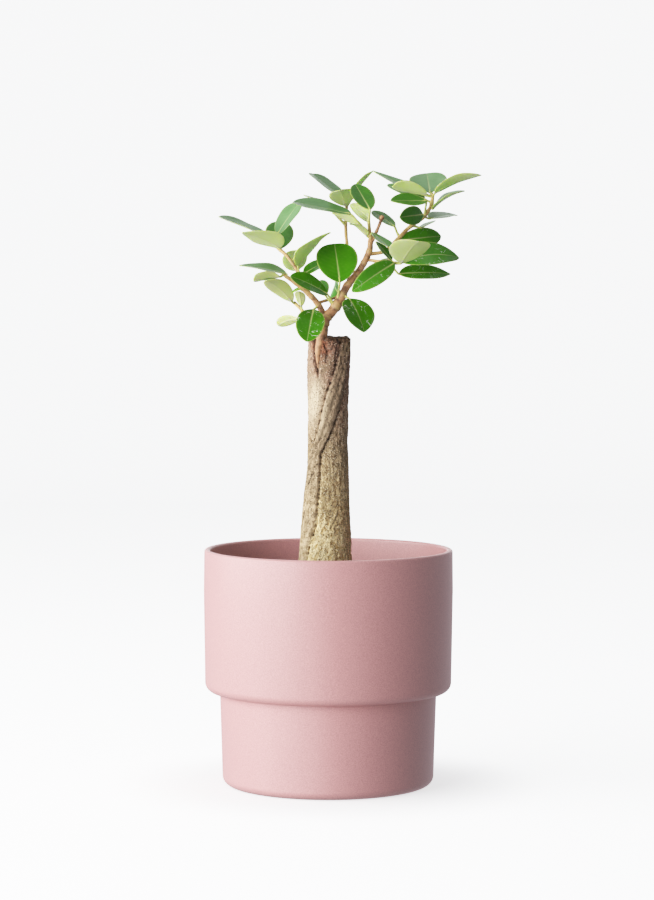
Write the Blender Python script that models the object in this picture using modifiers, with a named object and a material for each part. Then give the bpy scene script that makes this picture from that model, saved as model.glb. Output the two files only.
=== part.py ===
"""Potted Chinese banyan: a cut ficus trunk that has sprouted a small crown of round, thick
leaves, standing in soil in a stepped stoneware pot.

Metres, +Z up, origin at the centre of the pot's base. +X is right and -Y is the front.
"""
import math
from collections import namedtuple

import bmesh
import bpy
from mathutils import Vector, noise

MM = 0.001
GAP = 0.3 * MM                # left between pieces that touch
MERGE = 0.01 * MM             # doubles closer than this are one vertex

# Pot, all in metres
POT_HEIGHT = 0.199
RIM_RADIUS = 0.1046
BELLY_RADIUS = 0.105          # the upper body is widest a little under its rim
BELLY_HEIGHT = 0.165
SHOULDER_RADIUS = 0.1039      # upper body just above its lower corner
STEP_HEIGHT = 0.0792          # underside of the upper body
FOOT_TOP_RADIUS = 0.0914
FOOT_RADIUS = 0.0892
CORNER = 0.0075               # rounding under the upper body and round the base
LIP = 0.002                   # rounding of the rim
WALL = 0.005
FLOOR = 0.008
POT_STEPS = 40

# Soil
SOIL_TOP = 0.168              # height at the pot's wall
SOIL_CROWN = 0.004            # how much higher it is heaped at the trunk
SOIL_LUMP = 0.0014            # height of its lumps
SOIL_LUMP_SIZE = 0.022
SOIL_CRUMB_SIZE = 0.009
HOLE_RADIUS = 0.0256          # plain hole that the trunk stands in
HOLE_CENTRE = -0.0026         # follows the trunk's lean
SOIL_RINGS = 6

# Trunk
TRUNK_TOP = 0.378
TRUNK_FOOT = 0.118            # lower end, inside the soil
TRUNK_STEPS = 28
TRUNK_ROWS = 24
TRUNK_RADII = [(0.118, 0.0195), (0.150, 0.0215), (0.172, 0.0222), (0.192, 0.0213), (0.212, 0.0202),
               (0.245, 0.0183), (0.285, 0.0169), (0.320, 0.0168), (0.350, 0.0177), (0.378, 0.0178)]
TRUNK_LEAN = [(0.118, -0.0030), (0.192, -0.0018), (0.250, -0.0008), (0.330, -0.0005), (0.378, 0.0004)]
# An aerial root grown into the trunk winds down it. Its two edges as angle and height:
# degrees from the front, plus to the right
ROOT_RIGHT_EDGE = [(74, 0.378), (49, 0.329), (27, 0.311), (12, 0.299), (-13, 0.2845), (-21, 0.280),
                   (-24, 0.252), (-30, 0.219), (-47, 0.201), (-56, 0.185), (-60, 0.118)]
ROOT_LEFT_EDGE = [(40, 0.378), (15, 0.347), (-7, 0.329), (-19, 0.315), (-38, 0.2945), (-70, 0.275),
                  (-100, 0.245), (-120, 0.200), (-128, 0.118)]
ROOT_RISE = 0.0021
GROOVE_DEPTH = 0.0016
GROOVE_WIDTH = 0.0022
BARK_LUMP = 0.0005            # height of the bark's lumps
BARK_LUMP_SIZE = 0.006
BARK_STRETCH = 2.5            # the lumps are longer up the trunk than round it
TOP_FLAT_RADIUS = 0.0155      # the sawn top, inside its worn edge
TOP_WEAR = 0.0018
TOP_DISH = 0.001
TOP_LUMP = 0.0008
TOP_LUMP_SIZE = 0.008

# Leaves
BLADE_THICKNESS = 0.8 * MM
BLADE_ROWS = 6
STALK_RADIUS = 0.9 * MM
STALK_REACH = 0.12            # share of the blade that its stalk runs under
FOOT_FULLNESS = 0.6           # 0.5 for a broad foot of the blade to 1 for a wedge
FIRST_ROW = 0.12              # the rows bunch towards the tip and, less, towards the foot
BLADE_FOLD = 0.16             # rise of the two halves from the midrib
TIP_HALF_WIDTH = 0.6 * MM

Leaf = namedtuple("Leaf", "share stalk heading lift length width roll point arch")
# share    place along its stem, 0 at the foot and 1 at the tip
# stalk    from the stem's middle to the foot of the blade: x, y, z in mm
# heading  degrees round from +X towards +Y, as seen from above
# lift     degrees above level
# length, width in mm
# roll     degrees that the blade is turned about its midrib
# point    0.4 for a round end to 0.9 for a pointed one
# arch     rise of the midrib over its chord, as a share of the length

# Each stem's route is x, y, z and radius in mm
RIGHT_ROUTE = [(-9, -15.5, 352, 1.2), (-9.3, -15, 360, 2.6), (-8.3, -14, 369, 4.2), (-5.8, -12.5, 378, 4.7),
               (-4.6, -11.3, 387, 4.2), (-2.4, -10, 394, 4.4), (4, -9, 401, 4.0), (9.5, -8, 410, 3.8),
               (15, -6, 420, 3.2), (21, -4, 428, 2.9), (26, -3, 434, 2.8), (31, -2, 443, 2.6),
               (34, -1, 451, 2.4), (35, 0, 460, 2.1)]
STUB_ROUTE = [(34.6, 0, 456, 1.6), (38, -1, 462, 1.5), (44, -4, 476, 1.6)]
LEFT_ROUTE = [(-3, -10, 393, 2.6), (-9, -12, 405, 2.4), (-18, -14, 415, 2.1), (-27, -17, 422, 1.8),
              (-35, -20, 428, 1.5), (-38, -21, 430, 1.3)]
CROSS_ROUTE = [(-10, -12, 406, 1.2), (-3, -3, 408, 1.2), (4, 4, 410, 1.1), (8, 9, 412, 1.0)]
UPPER_LEFT_ROUTE = [(-17, -14, 415, 1.6), (-26, -6, 432, 1.5), (-35, 2, 445, 1.4), (-43, 8, 452, 1.5)]
LOWER_LEFT_ROUTE = [(-6, -11, 386, 1.8), (-13, -3, 391, 1.7), (-20, 4, 395, 1.5), (-23, 9, 400, 1.4),
                    (-29, 14, 406, 1.4)]
TOP_ROUTE = [(35, 0, 459, 1.7), (34, -4, 465, 1.5), (33, -8, 474, 1.2)]
FAR_RIGHT_ROUTE = [(34, -1, 447, 1.5), (46, 1, 449, 1.5), (51, 4, 453, 1.5), (57, 7, 459, 1.6),
                   (68, 12, 470, 1.6), (79, 15, 478, 1.6), (85, 17, 486, 1.6), (87, 18, 493, 1.5),
                   (87, 18, 498, 1.3)]
LOWER_RIGHT_ROUTE = [(33, -2, 443, 1.4), (43, -8, 443, 1.3), (49, -12, 442, 1.3), (56, -16, 440, 1.6)]
BACK_ROUTE = [(16, -5, 421, 1.4), (17, 10, 438, 1.3), (15, 22, 456, 1.3), (14, 34, 474, 1.3),
              (15, 42, 488, 1.2)]

RIGHT_LEAVES = [
    Leaf(0.31, (2, 7, 5), 85, 2, 30, 24, -20, 0.50, 0.09),
    Leaf(0.46, (-7, -6, 10), -168, 25, 35, 24, -37, 0.55, 0.04),
    Leaf(0.45, (-8, 4, 10), 100, 27, 27, 11, -21, 0.60, 0.02),
    Leaf(0.48, (2, -5, 18), 106, 63, 36, 35, -10, 0.45, 0.03),
    Leaf(0.56, (5, -7, -4), -46, -57, 33, 32, 6, 0.70, 0.06),
]
LEFT_LEAVES = [
    Leaf(0.25, (-4, -4, -4), -101, -43, 38, 24, -11, 0.50, 0.09),
    Leaf(0.94, (0, -1, 2), 174, 10, 40, 26, -12, 0.85, 0.03),
    Leaf(1.00, (-3, -2, -2), -174, -7, 22, 21, 23, 0.35, 0.04),
]
CROSS_LEAF = Leaf(1.00, (0, 1, 3), 90, 18, 32, 26, -77, 0.60, 0.09)
UPPER_LEFT_LEAVES = [
    Leaf(0.96, (-9, 3, 11), 170, 21, 46, 28, -6, 0.40, 0.00),
    Leaf(1.00, (2, -4, 0), -143, 18, 41, 33, 13, 0.90, 0.04),
    Leaf(0.98, (-1, 1, 12), 23, 53, 34, 26, 12, 0.50, 0.02),
    Leaf(0.93, (-2, 6, 1), 88, 43, 34, 24, 7, 0.50, 0.00),
    Leaf(0.39, (0, -2, 6), -33, 41, 42, 34, 9, 0.85, 0.07),
    Leaf(0.62, (5, 5, 10), 98, -32, 32, 21, -1, 0.35, 0.10),
    Leaf(0.37, (4, 5, 0), 10, 30, 21, 20, 22, 0.65, 0.00),
]
LOWER_LEFT_LEAVES = [
    Leaf(1.00, (-2, -5, 1), -120, 23, 46, 17, 23, 0.60, 0.07),
    Leaf(0.72, (-1, 0, 4), -96, 33, 23, 9, -5, 0.50, 0.07),
    Leaf(0.66, (-4, 4, -5), 130, -12, 28, 12, 39, 0.35, 0.08),
]
TOP_LEAVES = [
    Leaf(0.30, (-16, -2, 17), 165, 12, 51, 31, -15, 0.40, 0.00),
    Leaf(0.22, (-4, 4, 5), 155, 25, 34, 21, 27, 0.75, 0.03),
    Leaf(0.16, (-3, -1, 1), -122, 19, 29, 11, -6, 0.65, 0.09),
    Leaf(0.34, (2, -5, 1), -58, -25, 28, 15, -6, 0.35, 0.00),
    Leaf(1.00, (1, 0, 10), 114, 36, 37, 19, -10, 0.60, 0.00),
    Leaf(0.95, (0, 5, 3), 113, 18, 41, 11, 107, 0.45, 0.12),
]
FAR_RIGHT_LEAVES = [
    Leaf(0.34, (3, 1, 0), 38, 5, 45, 17, 76, 0.60, 0.05),
    Leaf(0.39, (-4, 5, 9), 120, 21, 38, 12, -14, 0.50, 0.00),
    Leaf(0.73, (-1, -8, 2), -127, -5, 33, 16, -83, 0.55, 0.04),
    Leaf(0.75, (1, -4, 12), -160, 0, 32, 22, -29, 0.70, 0.00),
    Leaf(0.91, (-6, 5, 3), 136, 17, 44, 15, -19, 0.50, 0.00),
    Leaf(0.98, (-5, -2, 1), -165, 14, 30, 22, 22, 0.35, 0.02),
    Leaf(0.97, (-9, 5, 2), 149, 23, 52, 17, -10, 0.95, 0.00),
    Leaf(1.00, (-2, 1, 1), 93, 27, 37, 32, -6, 0.50, 0.00),
    Leaf(0.98, (2, -2, 2), -30, 19, 45, 24, -7, 0.40, 0.06),
    Leaf(0.89, (1, -2, -4), -11, 29, 31, 36, 8, 0.95, 0.08),
    Leaf(0.74, (5, 3, -2), 46, 6, 33, 21, 12, 0.65, 0.03),
    Leaf(0.58, (8, 4, -2), 68, 11, 31, 11, -12, 0.60, 0.00),
]
LOWER_RIGHT_LEAVES = [
    Leaf(0.97, (-1, -3, 0), -143, -28, 50, 18, -62, 0.60, 0.10),
    Leaf(0.97, (-3, 5, 2), 166, 49, 21, 14, -15, 0.70, 0.01),
    Leaf(1.00, (4, -4, 0), -69, 26, 41, 34, -6, 0.55, 0.05),
    Leaf(1.00, (5, 0, 1), 13, 4, 49, 27, 43, 0.70, 0.12),
    Leaf(0.72, (9, -2, -10), 23, 0, 47, 19, 42, 0.80, 0.03),
    Leaf(0.19, (2, 2, -1), 62, -4, 22, 14, -13, 0.60, 0.05),
]
BACK_LEAVES = [
    Leaf(1.00, (4, 2, 6), 25, 50, 31, 21, -31, 0.95, 0.04),
    Leaf(1.00, (-1, -3, 0), -100, 22, 33, 22, 14, 0.65, 0.07),
    Leaf(0.99, (-3, 2, 7), 137, 31, 42, 24, 4, 0.35, 0.00),
    Leaf(0.77, (-15, 0, 16), 127, 16, 34, 16, 11, 0.55, 0.00),
]


def new_collection(name):
    collection = bpy.data.collections.new(name)
    bpy.context.scene.collection.children.link(collection)
    return collection


def add_object(name, data, collection):
    obj = bpy.data.objects.new(name, data)
    collection.objects.link(obj)
    return obj


def make_material(name, colour, roughness, metallic=0.0):
    material = bpy.data.materials.new(name)
    material.use_nodes = True
    shader = material.node_tree.nodes["Principled BSDF"]
    shader.inputs["Base Color"].default_value = (*colour, 1.0)
    shader.inputs["Roughness"].default_value = roughness
    shader.inputs["Metallic"].default_value = metallic
    return material


def value_at(pairs, place):
    """Straight-line value between (place, value) pairs in rising order of place."""
    for (start, first), (end, last) in zip(pairs, pairs[1:]):
        if place <= end:
            share = max(0.0, (place - start) / (end - start))
            return first + (last - first) * share
    return pairs[-1][1]


def arc(centre, radius, start, end, pieces):
    """Points on an arc in the profile's plane; angles in degrees from outwards to up."""
    points = []
    for step in range(pieces + 1):
        angle = math.radians(start + (end - start) * step / pieces)
        points.append((centre[0] + radius * math.cos(angle), centre[1] + radius * math.sin(angle)))
    return points


def turned(name, profile, steps, collection):
    """A solid of revolution: the profile runs from the axis over the outside back to the axis."""
    mesh = bpy.data.meshes.new(name)
    points = [(radius, 0.0, height) for radius, height in profile]
    edges = [(index, index + 1) for index in range(len(points) - 1)]
    mesh.from_pydata(points, edges, [])
    obj = add_object(name, mesh, collection)
    screw = obj.modifiers.new("turn", "SCREW")
    screw.steps = steps
    screw.render_steps = steps
    screw.use_merge_vertices = True
    screw.merge_threshold = MERGE
    return obj


def settle(obj):
    """Replaces an object's mesh with its evaluated one, welded, and drops its modifiers."""
    depsgraph = bpy.context.evaluated_depsgraph_get()
    mesh = bpy.data.meshes.new_from_object(obj.evaluated_get(depsgraph))
    bm = bmesh.new()
    bm.from_mesh(mesh)
    bmesh.ops.remove_doubles(bm, verts=bm.verts, dist=MERGE)
    bm.to_mesh(mesh)
    bm.free()
    obj.modifiers.clear()
    obj.data = mesh
    return obj


def cut(obj, cutter):
    """Cuts one object with another, and removes the cutter."""
    boolean = obj.modifiers.new("cut", "BOOLEAN")
    boolean.operation = "DIFFERENCE"
    boolean.solver = "EXACT"
    boolean.object = cutter
    settle(obj)
    bpy.data.objects.remove(cutter)


def join_collection(obj, pieces):
    """One union of an object with everything in a collection, which is then removed."""
    boolean = obj.modifiers.new("join", "BOOLEAN")
    boolean.operation = "UNION"
    boolean.solver = "MANIFOLD"
    boolean.operand_type = "COLLECTION"
    boolean.collection = pieces
    settle(obj)
    for piece in list(pieces.objects):
        bpy.data.objects.remove(piece)
    bpy.data.collections.remove(pieces)


def smooth_route(route, pieces):
    """Points on a smooth curve through a route's own points, with their radii."""
    points = [Vector(point) * MM for point in route]
    points = [points[0] * 2 - points[1], *points, points[-1] * 2 - points[-2]]
    result = []
    for a, b, c, d in zip(points, points[1:], points[2:], points[3:]):
        for step in range(pieces):
            t = step / pieces
            result.append(0.5 * ((2 * b) + (c - a) * t + (2 * a - 5 * b + 4 * c - d) * t ** 2
                                 + (3 * b - a - 3 * c + d) * t ** 3))
    result.append(points[-2])
    return result


def tube(name, points, sides, collection, swell=0.0):
    """A closed tube along points of x, y, z and radius, as a mesh object."""
    curve = bpy.data.curves.new(name, "CURVE")
    curve.dimensions = "3D"
    curve.bevel_depth = 1.0
    curve.bevel_resolution = sides // 2 - 2
    curve.use_fill_caps = True
    spline = curve.splines.new("POLY")
    spline.points.add(len(points) - 1)
    for point, place in zip(spline.points, points):
        point.co = (place[0], place[1], place[2], 1.0)
        point.radius = place[3] + swell
    obj = add_object(name + "_curve", curve, collection)
    depsgraph = bpy.context.evaluated_depsgraph_get()
    mesh = bpy.data.meshes.new_from_object(obj.evaluated_get(depsgraph))
    bm = bmesh.new()
    bm.from_mesh(mesh)
    bmesh.ops.remove_doubles(bm, verts=bm.verts, dist=MERGE)
    bmesh.ops.recalc_face_normals(bm, faces=bm.faces)
    bm.to_mesh(mesh)
    bm.free()
    bpy.data.objects.remove(obj)
    return add_object(name, mesh, collection)


def seat(name, route, collection):
    """The room that a stem takes in its neighbours: its tube with a gap all round and at its ends."""
    points = smooth_route(route, 2)
    points[0] += (points[0] - points[1]).normalized() * GAP
    points[-1] += (points[-1] - points[-2]).normalized() * GAP
    return tube(name, points, 8, collection, GAP)


def along(points, share):
    """The place at a share of a route's length."""
    lengths = [(b - a).to_3d().length for a, b in zip(points, points[1:])]
    left = share * sum(lengths)
    for a, b, length in zip(points, points[1:], lengths):
        if left <= length:
            return a.lerp(b, left / length)
        left -= length
    return points[-1].copy()


def blade_half_width(share, leaf):
    """Half the blade's width at a share of its length: tapered foot, widest past the middle."""
    widest = FOOT_FULLNESS / (FOOT_FULLNESS + leaf.point)
    fullness = widest ** FOOT_FULLNESS * (1 - widest) ** leaf.point
    shape = max(share, 0.0) ** FOOT_FULLNESS * max(1 - share, 0.0) ** leaf.point
    return leaf.width * MM / 2 * shape / fullness


def blade_place(leaf, foot, along_share, across):
    """A point of the blade's middle surface: along it 0 to 1, and across it -1 to 1."""
    heading = math.radians(leaf.heading)
    lift = math.radians(leaf.lift)
    axis = Vector((math.cos(heading) * math.cos(lift), math.sin(heading) * math.cos(lift), math.sin(lift)))
    up = Vector((0, 0, 1))
    face = (up - axis * up.dot(axis)).normalized()
    side = axis.cross(face)
    roll = math.radians(leaf.roll)
    face, side = face * math.cos(roll) + side * math.sin(roll), side * math.cos(roll) - face * math.sin(roll)
    half = blade_half_width(along_share, leaf)
    half = max(half, STALK_RADIUS if along_share < 0.5 else TIP_HALF_WIDTH)
    length = leaf.length * MM
    rise = leaf.arch * length * 4 * along_share * (1 - along_share)
    rise += BLADE_FOLD * half * abs(across)
    return foot + axis * (length * along_share) + side * (half * across) + face * rise


def row_place(share):
    """Where along the blade a row of its grid lies."""
    first = math.cos(math.pi * FIRST_ROW)
    spaced = math.cos(math.pi * (FIRST_ROW + (1 - FIRST_ROW) * share))
    return (first - spaced) / (first + 1)


def add_blade(name, leaf, foot, collection):
    """A grid bent into the blade's outline and arch, then thickened."""
    bm = bmesh.new()
    bmesh.ops.create_grid(bm, x_segments=BLADE_ROWS, y_segments=2, size=1.0)
    for vertex in bm.verts:
        vertex.co = blade_place(leaf, foot, row_place((vertex.co.x + 1) / 2), vertex.co.y)
    bmesh.ops.triangulate(bm, faces=bm.faces)
    mesh = bpy.data.meshes.new(name)
    bm.to_mesh(mesh)
    bm.free()
    obj = add_object(name, mesh, collection)
    solidify = obj.modifiers.new("thickness", "SOLIDIFY")
    solidify.thickness = BLADE_THICKNESS
    solidify.offset = 0.0
    return settle(obj)


def add_leaf(name, leaf, points, collection):
    """A blade and its bent stalk, whose ends are sunk in the stem and in the blade."""
    root = along(points, leaf.share).to_3d()
    foot = root + Vector(leaf.stalk) * MM
    end = blade_place(leaf, foot, STALK_REACH, 0.0)
    bend = root.lerp(foot, 0.55) - Vector((0, 0, 0.4 * MM))
    stalk = [(*place, STALK_RADIUS) for place in (root, bend, foot)]
    stalk.append((*end, STALK_RADIUS * 0.75))
    tube(name + "_stalk", stalk, 4, collection)
    add_blade(name, leaf, foot, collection)


def leafy_stem(name, route, leaves, parts, material, carriers=(), twigs=()):
    """A stem with its leaves and side twigs in one solid, seated clear of what carries it."""
    points = smooth_route(route, 2)
    stem = tube(name, points, 8, parts)
    pieces = new_collection(name + "_pieces")
    for index, leaf in enumerate(leaves):
        add_leaf(f"{name}_leaf_{index}", leaf, points, pieces)
    for twig_route, twig_leaves in twigs:
        twig_points = smooth_route(twig_route, 2)
        tube(name + "_twig", twig_points, 6, pieces)
        for leaf in twig_leaves:
            add_leaf(name + "_twig_leaf", leaf, twig_points, pieces)
    join_collection(stem, pieces)
    cutters = bpy.data.collections["cutters"]
    for carrier in carriers:
        cut(stem, seat(name + "_seat", carrier, cutters))
    stem.data.materials.clear()
    stem.data.materials.append(material)
    return stem


def pot_inner_profile(clearance):
    """The pot's inside from the middle of its floor up to its rim, moved inwards by a clearance."""
    foot_radius = FOOT_RADIUS - WALL - clearance
    inner_corner = CORNER - 0.3 * WALL
    ledge = STEP_HEIGHT + WALL + clearance
    shoulder = SHOULDER_RADIUS - WALL - clearance
    floor = FLOOR + clearance
    profile = [(0.0, floor)]
    profile += arc((foot_radius - inner_corner, floor + inner_corner), inner_corner, -90, 0, 3)
    profile.append((FOOT_TOP_RADIUS - WALL - clearance, ledge))
    profile += arc((shoulder - inner_corner, ledge + inner_corner), inner_corner, -90, 0, 2)
    profile.append((BELLY_RADIUS - WALL - clearance, BELLY_HEIGHT))
    return profile


def build_pot(parts):
    inner_rim = RIM_RADIUS - WALL
    profile = pot_inner_profile(0.0)
    profile += arc((inner_rim + LIP, POT_HEIGHT - LIP), LIP, 180, 90, 2)
    profile += arc((RIM_RADIUS - LIP, POT_HEIGHT - LIP), LIP, 90, 0, 2)
    profile.append((BELLY_RADIUS, BELLY_HEIGHT))
    profile += arc((SHOULDER_RADIUS - CORNER, STEP_HEIGHT + CORNER), CORNER, 0, -90, 4)
    profile.append((FOOT_TOP_RADIUS, STEP_HEIGHT))
    profile += arc((FOOT_RADIUS - CORNER, CORNER), CORNER, 0, -90, 4)
    profile.append((0.0, 0.0))
    pot = settle(turned("pot", profile, POT_STEPS, parts))
    pot.data.shade_smooth()
    pot.data.set_sharp_from_angle(angle=math.radians(40))
    pot.data.materials.append(make_material("pink_stoneware", (0.49, 0.24, 0.23), 0.75))
    return pot


def build_soil(parts):
    """Soil that fills the pot to under its rim, with a plain hole for the trunk."""
    wall = BELLY_RADIUS - WALL - GAP
    profile = pot_inner_profile(GAP)[:-1]
    profile.append((wall, SOIL_TOP))
    for ring in range(1, SOIL_RINGS + 1):
        share = ring / SOIL_RINGS
        profile.append((wall * (1 - share), SOIL_TOP + SOIL_CROWN * share))
    soil = settle(turned("soil", profile, POT_STEPS, parts))
    for vertex in soil.data.vertices:
        radius = vertex.co.xy.length
        if vertex.co.z > SOIL_TOP - MM and radius < wall - MM:
            lump = noise.noise(vertex.co / SOIL_LUMP_SIZE) + 0.6 * noise.noise(vertex.co / SOIL_CRUMB_SIZE)
            vertex.co.z += SOIL_LUMP * lump
    return soil


def trunk_relief(angle, height):
    """How far the bark stands off the plain trunk; the angle is in degrees from the front."""
    radius = value_at(TRUNK_RADII, height)
    right = value_at([(z, a) for a, z in reversed(ROOT_RIGHT_EDGE)], height)
    left = value_at([(z, a) for a, z in reversed(ROOT_LEFT_EDGE)], height)
    centre = (left + right) / 2
    offset = (angle - centre + 180) % 360 - 180
    share = offset / ((right - left) / 2)
    relief = 0.0
    if abs(share) < 1:
        relief += ROOT_RISE * math.cos(share * math.pi / 2) ** 0.7
    for edge in (left, right):
        away = math.radians((angle - edge + 180) % 360 - 180) * radius
        relief -= GROOVE_DEPTH * math.exp(-(away / GROOVE_WIDTH) ** 2)
    return relief


def build_trunk(parts):
    """The plain turned trunk, then raised and sunk by its bark and its grown-in root."""
    shoulder = TRUNK_TOP - TOP_WEAR
    profile = [(0.0, TRUNK_TOP - TOP_DISH), (TOP_FLAT_RADIUS * 0.65, TRUNK_TOP), (TOP_FLAT_RADIUS, TRUNK_TOP)]
    for row in range(TRUNK_ROWS + 1):
        height = shoulder - (shoulder - TRUNK_FOOT) * row / TRUNK_ROWS
        profile.append((value_at(TRUNK_RADII, height), height))
    profile.append((0.0, TRUNK_FOOT))
    trunk = settle(turned("trunk", profile, TRUNK_STEPS, parts))
    for vertex in trunk.data.vertices:
        radius = vertex.co.xy.length
        height = vertex.co.z
        if radius > MM and height > TRUNK_FOOT + MM:
            angle = math.degrees(math.atan2(vertex.co.x, -vertex.co.y))
            place = Vector((vertex.co.x, vertex.co.y, height / BARK_STRETCH))
            rough = BARK_LUMP * noise.noise(place / BARK_LUMP_SIZE)
            share = min(1.0, radius / TOP_FLAT_RADIUS)
            scale = 1 + (trunk_relief(angle, height) + rough) * share / radius
            vertex.co.x *= scale
            vertex.co.y *= scale
            if height > shoulder:
                vertex.co.z += TOP_LUMP * noise.noise(vertex.co / TOP_LUMP_SIZE)
        vertex.co.x += value_at(TRUNK_LEAN, height)
    return trunk


def build():
    for obj in list(bpy.data.objects):
        bpy.data.objects.remove(obj)
    parts = new_collection("potted_chinese_banyan")
    cutters = new_collection("cutters")

    build_pot(parts)

    trunk = build_trunk(parts)
    soil = build_soil(parts)
    bottom = TRUNK_FOOT - GAP
    hole_profile = [(0.0, POT_HEIGHT), (HOLE_RADIUS, POT_HEIGHT), (HOLE_RADIUS, bottom), (0.0, bottom)]
    hole = settle(turned("hole", hole_profile, 32, cutters))
    hole.location.x = HOLE_CENTRE
    cut(soil, hole)
    soil.data.materials.clear()
    soil.data.materials.append(make_material("potting_soil", (0.035, 0.022, 0.015), 0.95))
    cut(trunk, seat("socket", RIGHT_ROUTE, cutters))
    trunk.data.shade_smooth()
    trunk.data.set_sharp_from_angle(angle=math.radians(50))
    trunk.data.materials.clear()
    trunk.data.materials.append(make_material("grey_bark", (0.27, 0.21, 0.14), 0.9))

    green = make_material("leaf_green", (0.06, 0.19, 0.03), 0.35)
    leafy_stem("stem_right", RIGHT_ROUTE, RIGHT_LEAVES, parts, green, twigs=[(STUB_ROUTE, [])])
    leafy_stem("stem_left", LEFT_ROUTE, LEFT_LEAVES, parts, green, [RIGHT_ROUTE],
               twigs=[(CROSS_ROUTE, [CROSS_LEAF])])
    leafy_stem("stem_upper_left", UPPER_LEFT_ROUTE, UPPER_LEFT_LEAVES, parts, green, [LEFT_ROUTE])
    leafy_stem("stem_lower_left", LOWER_LEFT_ROUTE, LOWER_LEFT_LEAVES, parts, green, [RIGHT_ROUTE])
    leafy_stem("stem_top", TOP_ROUTE, TOP_LEAVES, parts, green, [RIGHT_ROUTE, STUB_ROUTE])
    leafy_stem("stem_far_right", FAR_RIGHT_ROUTE, FAR_RIGHT_LEAVES, parts, green, [RIGHT_ROUTE])
    leafy_stem("stem_lower_right", LOWER_RIGHT_ROUTE, LOWER_RIGHT_LEAVES, parts, green, [RIGHT_ROUTE])
    leafy_stem("stem_back", BACK_ROUTE, BACK_LEAVES, parts, green, [RIGHT_ROUTE])


build()
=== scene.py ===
"""Looks of the potted Chinese banyan: a matt pink stoneware pot, crumbly soil, a sawn ficus
trunk with a root grown into it, and its crown of thick waxy leaves on young twigs.

Metres, +Z up, origin at the centre of the pot's base, -Y towards the viewer.
"""
import math
import random
from collections import namedtuple

import bmesh
import bpy
from mathutils import Matrix, Vector, noise


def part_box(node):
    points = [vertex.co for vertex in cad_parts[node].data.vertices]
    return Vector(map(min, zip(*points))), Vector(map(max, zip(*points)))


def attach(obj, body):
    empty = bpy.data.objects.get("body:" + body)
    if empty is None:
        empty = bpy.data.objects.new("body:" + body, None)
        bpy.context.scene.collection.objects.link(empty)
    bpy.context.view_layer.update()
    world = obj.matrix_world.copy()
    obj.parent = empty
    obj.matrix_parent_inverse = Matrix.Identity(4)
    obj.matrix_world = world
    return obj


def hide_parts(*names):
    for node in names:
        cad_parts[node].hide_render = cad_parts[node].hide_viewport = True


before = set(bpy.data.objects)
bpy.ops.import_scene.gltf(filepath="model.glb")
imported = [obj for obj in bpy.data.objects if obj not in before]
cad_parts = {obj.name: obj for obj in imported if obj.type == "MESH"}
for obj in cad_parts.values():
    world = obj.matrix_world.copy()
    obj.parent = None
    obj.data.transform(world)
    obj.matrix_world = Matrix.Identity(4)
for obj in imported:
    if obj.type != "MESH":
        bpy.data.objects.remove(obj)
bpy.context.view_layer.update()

MM = 0.001
BODY = "root"

# Camera, as fitted to the photograph's outline of the pot
CAMERA_PLACE = (-0.0014, -2.537, 0.440)
CAMERA_TILT = 0.062            # radians down from level
CAMERA_ROLL = 0.002
FOCAL_LENGTH = 120.84          # mm on a 36 mm wide frame set to the picture's long side

# Pot
POT_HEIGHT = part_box("pot")[1][2]
BELLY_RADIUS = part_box("pot")[1][0]
RIM_RADIUS = BELLY_RADIUS - 0.4 * MM
BELLY_HEIGHT = 0.165
SHOULDER_RADIUS = 0.1039
STEP_HEIGHT = 0.0792
FOOT_TOP_RADIUS = 0.0914
FOOT_RADIUS = 0.0892
CORNER = 7.5 * MM
LIP = 2.0 * MM
WALL = 5.0 * MM
FLOOR = 8.0 * MM
POT_STEPS = 240
ROUNDING_PIECES = 10

# Soil
SOIL_EDGE = 0.168
SOIL_CROWN = 4.0 * MM
SOIL_STEPS = 150
SOIL_RINGS = 46
CRUMBS = 620
CRUMB_SIZE = (0.9 * MM, 2.6 * MM)

# Trunk
TRUNK_FOOT, TRUNK_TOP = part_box("trunk")[0][2], 0.378
TRUNK_STEPS = 260
TRUNK_ROWS = 330
TRUNK_RADII = [(0.118, 0.0195), (0.150, 0.0215), (0.172, 0.0222), (0.192, 0.0213), (0.212, 0.0202),
               (0.245, 0.0183), (0.285, 0.0169), (0.320, 0.0168), (0.350, 0.0177), (0.378, 0.0178)]
TRUNK_LEAN = [(0.118, -0.0030), (0.192, -0.0018), (0.250, -0.0008), (0.330, -0.0005), (0.378, 0.0004)]
# The two edges of the grown-in root, as degrees from the front, plus to the right, and height
ROOT_RIGHT_EDGE = [(74, 0.378), (49, 0.329), (27, 0.311), (12, 0.299), (-13, 0.2845), (-21, 0.280),
                   (-24, 0.252), (-30, 0.219), (-47, 0.201), (-56, 0.185), (-60, 0.118)]
ROOT_LEFT_EDGE = [(40, 0.378), (15, 0.347), (-7, 0.329), (-19, 0.315), (-38, 0.2945), (-70, 0.275),
                  (-100, 0.245), (-120, 0.200), (-128, 0.118)]
ROOT_RISE = 2.1 * MM
GROOVE_DEPTH = 1.9 * MM
GROOVE_WIDTH = 1.2 * MM
# The cleft is a groove with painted shade laid into it as well
CLEFT = [(-46, 0.371), (-43, 0.362), (-36, 0.352), (-31, 0.345)]     # dark split beside the shoot's foot
FINE_CRACKS = [[(29, 0.231), (19, 0.224), (9, 0.218)], [(-39, 0.264), (-48, 0.260), (-54, 0.255)],
               [(-62, 0.231), (-70, 0.222), (-76, 0.214)], [(-15, 0.372), (-6, 0.366), (-9, 0.357)],
               [(22, 0.371), (17, 0.362), (19, 0.352)]]
FINE_CRACK_WIDTH = 0.7 * MM
CLEFT_WIDTH = 1.3 * MM
CLEFT_DEPTH = 3.2 * MM
TOP_FLAT_RADIUS = 0.0155
TOP_WEAR = 1.8 * MM

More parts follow.
